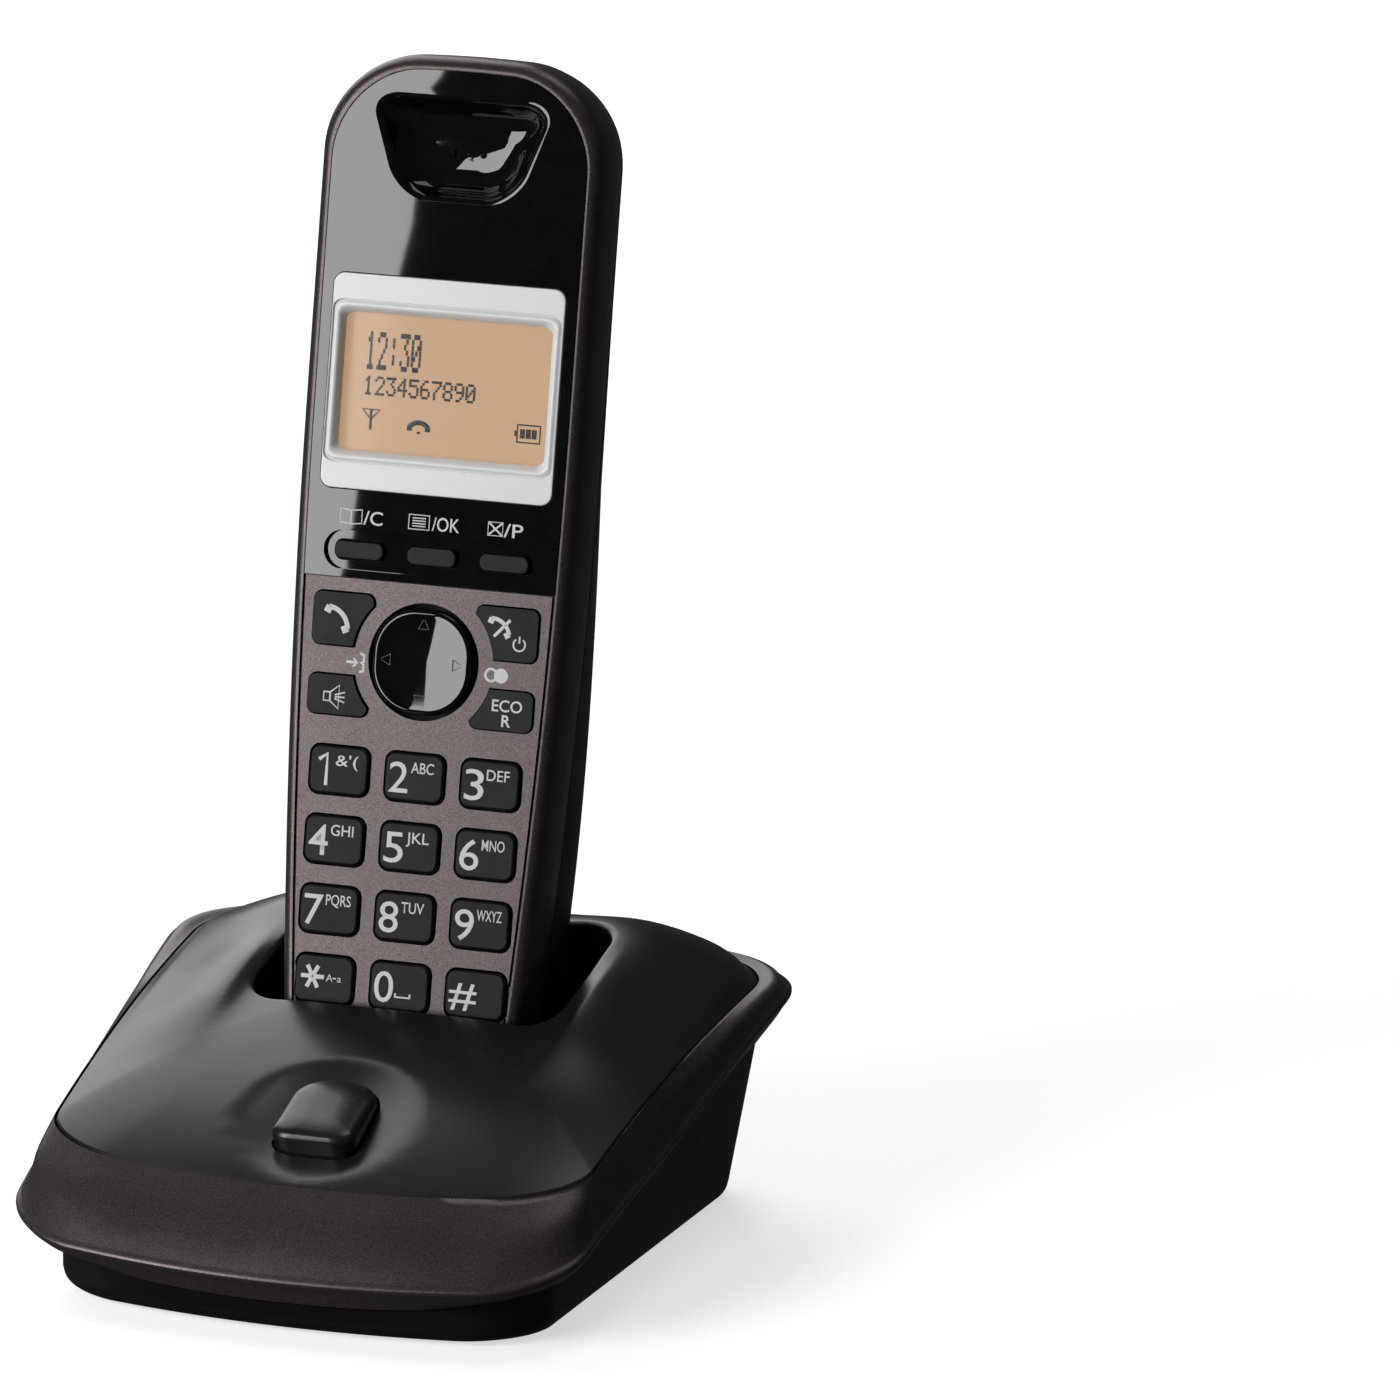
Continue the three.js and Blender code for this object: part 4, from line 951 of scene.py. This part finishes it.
def rear_case():
    piece = rear_block()
    combine(piece, [rear_hollow()])
    at = (0, CELL_AT)
    tub = block(BAY_WIDTH + 4.6, BAY_LENGTH + 6.6, 1.2 - HANDSET_DEPTH, -13.5, at=at)
    combine(piece, [combine(tub, [rear_block()], "INTERSECT")], "UNION")
    tools = [block(BAY_WIDTH, BAY_LENGTH, -2 * HANDSET_DEPTH, -14.9, at=at),
             block(LID_WIDTH + 0.4, LID_LENGTH + 0.4, -HANDSET_DEPTH - 2, WALL - HANDSET_DEPTH, at=at,
                   corner=3.2)]
    tools += [block(12, 1.6, -HANDSET_DEPTH - 2, 3 - HANDSET_DEPTH, at=(0, DISPLAY_AT + 16 + v), corner=0.7)
              for v in (-4.5, 0, 4.5)]
    tools += [rod(2.8, -HANDSET_DEPTH - 1, 1 - HANDSET_DEPTH, at=at) for at in SCREW_AT]
    tools += [block(4.6, 3.1, CONTACT_W - 2.8, CONTACT_W + 2.8, at=(side * CONTACT_U, 0)) for side in (-1, 1)]
    combine(piece, tools)
    return done(piece, "handset_back", HANDSET_PLACE, SATIN_BLACK, "handset",
                ["handset_rear_case"])


def battery_lid():
    piece = block(LID_WIDTH, LID_LENGTH, -HANDSET_DEPTH - 2, LID_THICK - HANDSET_DEPTH,
                  at=(0, CELL_AT), corner=3)
    combine(piece, [rear_block()], "INTERSECT")
    ribs = [block(12, 1, -HANDSET_DEPTH - 1, 0.4 - HANDSET_DEPTH, at=(0, CELL_AT + LID_LENGTH / 2 - 9 + v),
                  corner=0.4) for v in (-3, -1.5, 0, 1.5, 3)]
    combine(piece, ribs)
    return done(piece, "battery_cover", HANDSET_PLACE, SATIN_BLACK, "battery_lid",
                ["battery_lid"])


# ---- Base ----
BASE_OUTLINE = unit_outline((0.28, 0.24), (0.38, 0.3), 20, 20, 18)


def seam_height(y):
    return 32.16 + 0.176 * y - 0.0015 * y * y


def crease_height(y):
    return seam_height(y) - (1.6 + 6 * (1 - smoothstep(-15, 45, y)))


def lip_height(y):
    return 19.7 + 0.23 * y - 0.0004 * y * y


def edge_point(a, b, level, inset=0.0):
    bow = 5 * a * a * max(0, -b) ** 3
    corner = 1 - level.get("round", 0) * (a * min(0, b)) ** 4
    if b < 0:
        y = b * (level["front"] - inset) * corner + bow
    else:
        y = b * (level["rear"] - inset)
    return a * (level["half"] - inset + level["flare"] * y) * corner, y


def base_ring(level, inset, height):
    points = [edge_point(a, b, level, inset) for a, b in BASE_OUTLINE]
    return [(x, y, height(y)) for x, y in points]


def lower_case():
    rings = [base_ring(FLOOR, 2.4, lambda y: FOOT_HEIGHT),
             base_ring(FLOOR, 1.5, lambda y: FOOT_HEIGHT + 0.08),
             base_ring(FLOOR, 0.8, lambda y: FOOT_HEIGHT + 0.4),
             base_ring(FLOOR, 0.2, lambda y: FOOT_HEIGHT + 1.1),
             base_ring(FLOOR, -0.2, lambda y: FOOT_HEIGHT + 2.6),
             base_ring(LIP, 0.4, lambda y: lip_height(y) - 0.4)]
    piece = drawn_shell(through(rings, 3, sharp=(4,)))
    hollow = drawn_shell([base_ring(FLOOR, 2.2, lambda y: 3),
                          base_ring(LIP, 2.4, lambda y: lip_height(y) + 0.5)])
    combine(piece, [hollow])
    tools = [rod(5.4, 0, 2, at=at) for at in FEET]
    tools += [rod(2.9, 0, 1.9, at=(0, y)) for y in BASE_SCREWS]
    for jack in (DC_JACK, LINE_JACK):
        tools.append(block(jack["width"] + 2 * GAP, 14, jack["z"] - jack["height"] / 2 - GAP,
                           jack["z"] + jack["height"] / 2 + GAP, at=(jack["x"], JACK_FACE + 2)))
    combine(piece, tools)
    return done(piece, "base_underside", BASE_PLACE, SATIN_BLACK, "base", ["base_lower_case"])


def base_band():
    shoulder = {key: (CREASE[key] + RIM[key]) / 2 for key in ("half", "front", "rear")}
    shoulder["flare"] = CREASE["flare"]
    outer = [base_ring(LIP, 0, lip_height),
             base_ring(CREASE, 0.8, lambda y: crease_height(y) - 1.6),
             base_ring(CREASE, 0, crease_height),
             base_ring(CREASE, 0.8, lambda y: crease_height(y) + 0.8),
             base_ring(shoulder, 0, lambda y: (crease_height(y) + seam_height(y)) / 2 + 1.1),
             base_ring(RIM, 0, seam_height)]
    piece = drawn_shell(through(outer, 5))
    hollow = drawn_shell([base_ring(LIP, 2, lambda y: lip_height(y) - 1),
                          base_ring(LIP, 2, lambda y: lip_height(y) + 2),
                          base_ring(RIM, 3.4, lambda y: seam_height(y) - 4.4),
                          base_ring(RIM, 2.8, lambda y: seam_height(y) + 4)])
    seat = drawn_shell([base_ring(RIM, 0.05, lambda y: seam_height(y) - COVER_THICK - 0.3),
                        base_ring(RIM, 0.05, lambda y: seam_height(y) + 4)])
    combine(piece, [hollow, seat])
    return done(piece, "base_band", BASE_PLACE, MOCHA, "base", ["base_bezel"], smooth=45)


def relief(x, y):
    """The cover rises behind the pocket and beside it, and a ridge runs forward from each side."""
    side = abs(x)
    shoulder = 3.3 * math.exp(-(((side - 29) / 15) ** 2) - ((y - 38) / 21) ** 2)
    bridge = 3.5 * math.exp(-((side / 22) ** 2) - ((y - 42) / 10) ** 2)
    across = side - POCKET_WIDTH / 2 - 3.6
    reach = 3.2 if across < 0 else 9
    fade = smoothstep(-20, -1, y) * (1 - smoothstep(8, 30, y))
    return shoulder + bridge + 1.9 * math.exp(-((across / reach) ** 2)) * fade


def dish(x, y):
    radius = math.hypot(x, (y - LOCATOR_Y) / math.cos(LOCATOR_TILT))
    return DISH_DEPTH / math.cos(LOCATOR_TILT) * max(0, 1 - (radius / DISH_RADIUS) ** 2)


def cover_height(x, y, q):
    return seam_height(y) + 6.2 * (1 - q ** 3) + relief(x, y) * smoothstep(1.0, 0.95, q) - dish(x, y)


def pocket_gap(x, y, z):
    """How far a point lies outside the pocket's wall."""
    dy, dz = y - SEAT_Y, z - SEAT_Z
    w = -dy * math.cos(LEAN) + dz * math.sin(LEAN)
    corner = 7
    du = abs(x) - (POCKET_WIDTH / 2 - corner)
    dw = abs(w + HANDSET_DEPTH / 2 + 0.3) - (POCKET_DEPTH / 2 - corner)
    return math.hypot(max(du, 0), max(dw, 0)) + min(max(du, dw), 0) - corner


def cover_ray(edge, q):
    x = q * edge[0]
    y = COVER_CENTRE + q * (edge[1] - COVER_CENTRE)
    return x, y, cover_height(x, y, q)


def rim_share(edge, gap):
    """Where along a ray from the edge to the middle the pocket's wall is gap away."""
    low, high = 0.05, 0.98
    for _ in range(40):
        middle = (low + high) / 2
        if pocket_gap(*cover_ray(edge, middle)) > gap:
            high = middle
        else:
            low = middle
    return (low + high) / 2


POCKET_ROUND = 0.9


def cover_rings():
    edges = [edge_point(a, b, RIM, GAP) for a, b in BASE_OUTLINE]
    inner = [rim_share(edge, POCKET_ROUND) for edge in edges]
    rings = [[(x, y, seam_height(y) - COVER_THICK) for x, y in edges],
             [(x, y, seam_height(y) - 0.5) for x, y in edges]]
    rings.append([(x * 0.9985, COVER_CENTRE + 0.9985 * (y - COVER_CENTRE), seam_height(y) - 0.12)
                  for x, y in edges])
    steps = 44
    for k in range(steps + 1):
        t = k / steps
        rings.append([cover_ray(edge, 0.994 + t * (q - 0.994)) for edge, q in zip(edges, inner)])
    down = Vector((0, -math.sin(LEAN), -math.cos(LEAN)))
    rim = rings[-1]
    for k in range(1, 6):
        angle = k / 5 * math.pi / 2
        ring = []
        for edge, q, point in zip(edges, inner, rim):
            wall = rim_share(edge, 0)
            inward = Vector(cover_ray(edge, wall)) - Vector(point)
            flat = Vector(point) + inward * math.sin(angle)
            ring.append(tuple(flat + down * POCKET_ROUND * (1 - math.cos(angle))))
        rings.append(ring)
    wall_top = rings[-1]
    for share in (0.25, 0.5, 0.75, 1):
        ring = []
        for point in wall_top:
            offset = Vector(point) - Vector((0, SEAT_Y, SEAT_Z))
            length = offset.dot(-down) - POCKET_FLOOR
            ring.append(tuple(Vector(point) + down * length * share))
        rings.append(ring)
    return rings


LOCATOR_Q = (COVER_CENTRE - LOCATOR_Y) / (COVER_CENTRE + RIM["front"])
LOCATOR_Z = seam_height(LOCATOR_Y) + 6.2 * (1 - LOCATOR_Q ** 3)
LOCATOR_TURN = Matrix.Translation((0, LOCATOR_Y, LOCATOR_Z)) @ Matrix.Rotation(LOCATOR_TILT, 4, "X")
LOCATOR_OUTLINE = unit_outline((0.5, 0.3), (0.8, 0.62), 6, 6, 16)


def locator_ring(inset, height):
    width, length = LOCATOR_SIZE
    points = [(a * (width / 2 - inset), b * (length / 2 - inset)) for a, b in LOCATOR_OUTLINE]
    return [(x, y, height(y)) for x, y in points]


def base_cover():
    piece = drawn_shell(cover_rings(), ends=False)
    edit_mode()
    bpy.ops.mesh.select_mode(type="EDGE")
    select_where(piece, "edges", lambda e: e.is_boundary and e.verts[0].co.z < 28
                 and abs(e.verts[0].co.x) < 27 and -4 < e.verts[0].co.y < 34)
    bpy.ops.mesh.edge_face_add()
    object_mode()
    apply_modifier(piece, "SOLIDIFY", thickness=1.5, offset=-1, use_rim=True, use_even_offset=False)
    hole = drawn_shell([locator_ring(-0.4, lambda y: -6), locator_ring(-0.4, lambda y: 4)])
    hole.data.transform(LOCATOR_TURN)
    slots = []
    for side in (-1, 1):
        slot = block(4.2, 8, CONTACT_W - 2.6, CONTACT_W + 2.6, at=(side * CONTACT_U, -3))
        slot.data.transform(HANDSET_TURN)
        slots.append(slot)
    combine(piece, [hole] + slots)
    return done(piece, "base_top", BASE_PLACE, COVER_BLACK, "base", ["base_cover"], smooth=14)


def locator_button():
    def top(y):
        return 1.5 - 0.11 * y

    rings = [locator_ring(0, lambda y: -4.3), locator_ring(0, lambda y: top(y) - 1.5),
             locator_ring(0.15, lambda y: top(y) - 1.0), locator_ring(0.55, lambda y: top(y) - 0.5),
             locator_ring(1.2, lambda y: top(y) - 0.15), locator_ring(2.4, lambda y: top(y) + 0.12),
             locator_ring(3.8, lambda y: top(y) + 0.28), locator_ring(5, lambda y: top(y) + 0.34)]
    piece = drawn_shell(through(rings, 3, sharp=(1,)))
    flange = drawn_shell([locator_ring(-1.2, lambda y: -5.1), locator_ring(-1.2, lambda y: -4.3)])
    combine(piece, [flange, rod(2, -6.7, -5, sides=32)], "UNION")
    done(piece, "locator_cap", BASE_PLACE @ LOCATOR_TURN, COVER_BLACK, "locator_button",
         ["locator_button"])
    face = top(1.5) + 0.3
    parts = [disc(0.42, (-2.3, 1.4), face)]
    for k in range(3):
        parts.append(stroke(arc((-2.3, 1.4), 1.5 + 1.05 * k, -30, 30), 0.42, face))
    forth = Matrix.Translation((0, 1.4, face))
    back = Matrix.Translation((0, -1.4, -face))
    slope = forth @ Matrix.Rotation(-0.11, 4, "X") @ back
    print_piece("locator_print", parts, BASE_PLACE @ LOCATOR_TURN @ slope, "locator_button", PRINT_DARK)


def rubber_foot(at, name):
    piece = rod(5, 0, 1.7, at=at)
    edit_mode()
    bpy.ops.mesh.select_mode(type="FACE")
    select_where(piece, "faces", lambda f: f.normal.z < -0.9)
    bpy.ops.mesh.inset(thickness=0.4)
    bpy.ops.mesh.region_to_loop()
    object_mode()
    apply_modifier(piece, "BEVEL", width=0.35, segments=3, limit_method="ANGLE", angle_limit=math.radians(50))
    return done(piece, name + "_pad", BASE_PLACE, RUBBER, "base", [name])


# ---- Everything in its place ----
front_case()
front_panel()
bezel_frame()
for number, label in enumerate(DIGITS):
    digit_key(number, label)
    digit_legend(number, label)
for key in FUNCTION_KEYS:
    function_key(*key)
function_legends()
for number, name in enumerate(("left_soft_key", "middle_soft_key", "right_soft_key")):
    soft_key(number, name)
nav_key()
nav_signs()
panel_print()
plate_print()
display_dots()
rear_case()
battery_lid()
lower_case()
base_band()
base_cover()
locator_button()
for (x, y), name in zip(FEET, ("foot_front_left", "foot_rear_left", "foot_front_right", "foot_rear_right")):
    rubber_foot((x, y), name)

KEPT = {
    "display_window": CLEAR, "display_module": AMBER, "keypad_mat": RUBBER, "main_board": BOARD,
    "base_board": BOARD, "locator_board": BOARD, "locator_switch": SATIN_BLACK, "dc_jack": SATIN_BLACK,
    "line_jack": SATIN_BLACK, "earpiece_speaker": STEEL, "ringer_speaker": STEEL, "microphone": STEEL,
    "nav_pivot": STEEL, "battery_contact_low": STEEL, "battery_contact_high": STEEL,
    "handset_screw_left": STEEL, "handset_screw_right": STEEL, "base_screw_front": STEEL,
    "base_screw_rear": STEEL, "handset_contact_left": GOLD, "handset_contact_right": GOLD,
    "cradle_contact_left": GOLD, "cradle_contact_right": GOLD, "battery_cell_left": SLEEVE,
    "battery_cell_right": SLEEVE,
}
for node, material in KEPT.items():
    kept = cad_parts[node]
    kept.data.materials.clear()
    kept.data.materials.append(material)


# ---- Floor, light and sky ----
def add_floor():
    bpy.ops.mesh.primitive_plane_add(size=8, location=(0, 0, 0))
    floor = bpy.context.object
    floor.name = "floor"
    material = bpy.data.materials.new("pale_floor")
    material.use_nodes = True
    shader = material.node_tree.nodes["Principled BSDF"]
    shader.inputs["Base Color"].default_value = (0.85, 0.85, 0.85, 1)
    shader.inputs["Roughness"].default_value = 0.9
    shader.inputs["Emission Color"].default_value = (1, 1, 1, 1)
    shader.inputs["Emission Strength"].default_value = 0.62
    floor.data.materials.append(material)
    floor.visible_glossy = False
    floor.visible_diffuse = False


def soft_light(name, place, aim, size, power):
    data = bpy.data.lights.new(name, "AREA")
    data.shape = "RECTANGLE"
    data.size, data.size_y = size
    data.energy = power
    lamp = bpy.data.objects.new(name, data)
    bpy.context.scene.collection.objects.link(lamp)
    lamp.location = place
    lamp.rotation_euler = (Vector(aim) - Vector(place)).to_track_quat("-Z", "Y").to_euler()


def mirrored(u, v, distance):
    """Where a ray from the camera, mirrored in the handset's face at (u, v), has gone after a distance."""
    point = HANDSET_PLACE @ Vector((u, v, 0))
    normal = (HANDSET_PLACE.to_3x3() @ Vector((0, 0, 1))).normalized()
    ray = (point - bpy.context.scene.camera.location).normalized()
    return point + ray.reflect(normal) * distance


def add_lights():
    """The tall key light's right edge is mirrored along the middle of the handset's glossy panel."""
    size = (0.5, 0.9)
    edge = mirrored(-5.2, 118, 1.0)
    aim = HANDSET_PLACE @ Vector((0, 110, 0))
    away = (edge - aim).normalized()
    across = away.cross(Vector((0, 0, 1))).normalized()
    if across.x > 0:
        across.negate()
    soft_light("key_light", edge + across * size[0] / 2, aim, size, 8 * math.pi * size[0] * size[1])
    soft_light("back_light", (-0.85, 0.95, 0.95), (0, 0, 0.04), (1.1, 1.5), 2.0 * math.pi * 1.1 * 1.5)
    soft_light("top_light", (0.3, 0.4, 1.9), (0, 0, 0), (0.9, 0.9), 5)


def add_sky():
    world = bpy.data.worlds.new("sky")
    bpy.context.scene.world = world
    world.use_nodes = True
    nodes, links = world.node_tree.nodes, world.node_tree.links
    background = nodes["Background"]
    background.inputs["Color"].default_value = (0.05, 0.05, 0.05, 1)
    bright = nodes.new("ShaderNodeBackground")
    bright.inputs["Color"].default_value = (1, 1, 1, 1)
    ray = nodes.new("ShaderNodeLightPath")
    mix = nodes.new("ShaderNodeMixShader")
    links.new(ray.outputs["Is Camera Ray"], mix.inputs["Fac"])
    links.new(background.outputs["Background"], mix.inputs[1])
    links.new(bright.outputs["Background"], mix.inputs[2])
    links.new(mix.outputs["Shader"], nodes["World Output"].inputs["Surface"])


add_floor()
add_lights()
add_sky()
bpy.context.scene.view_settings.view_transform = "Standard"
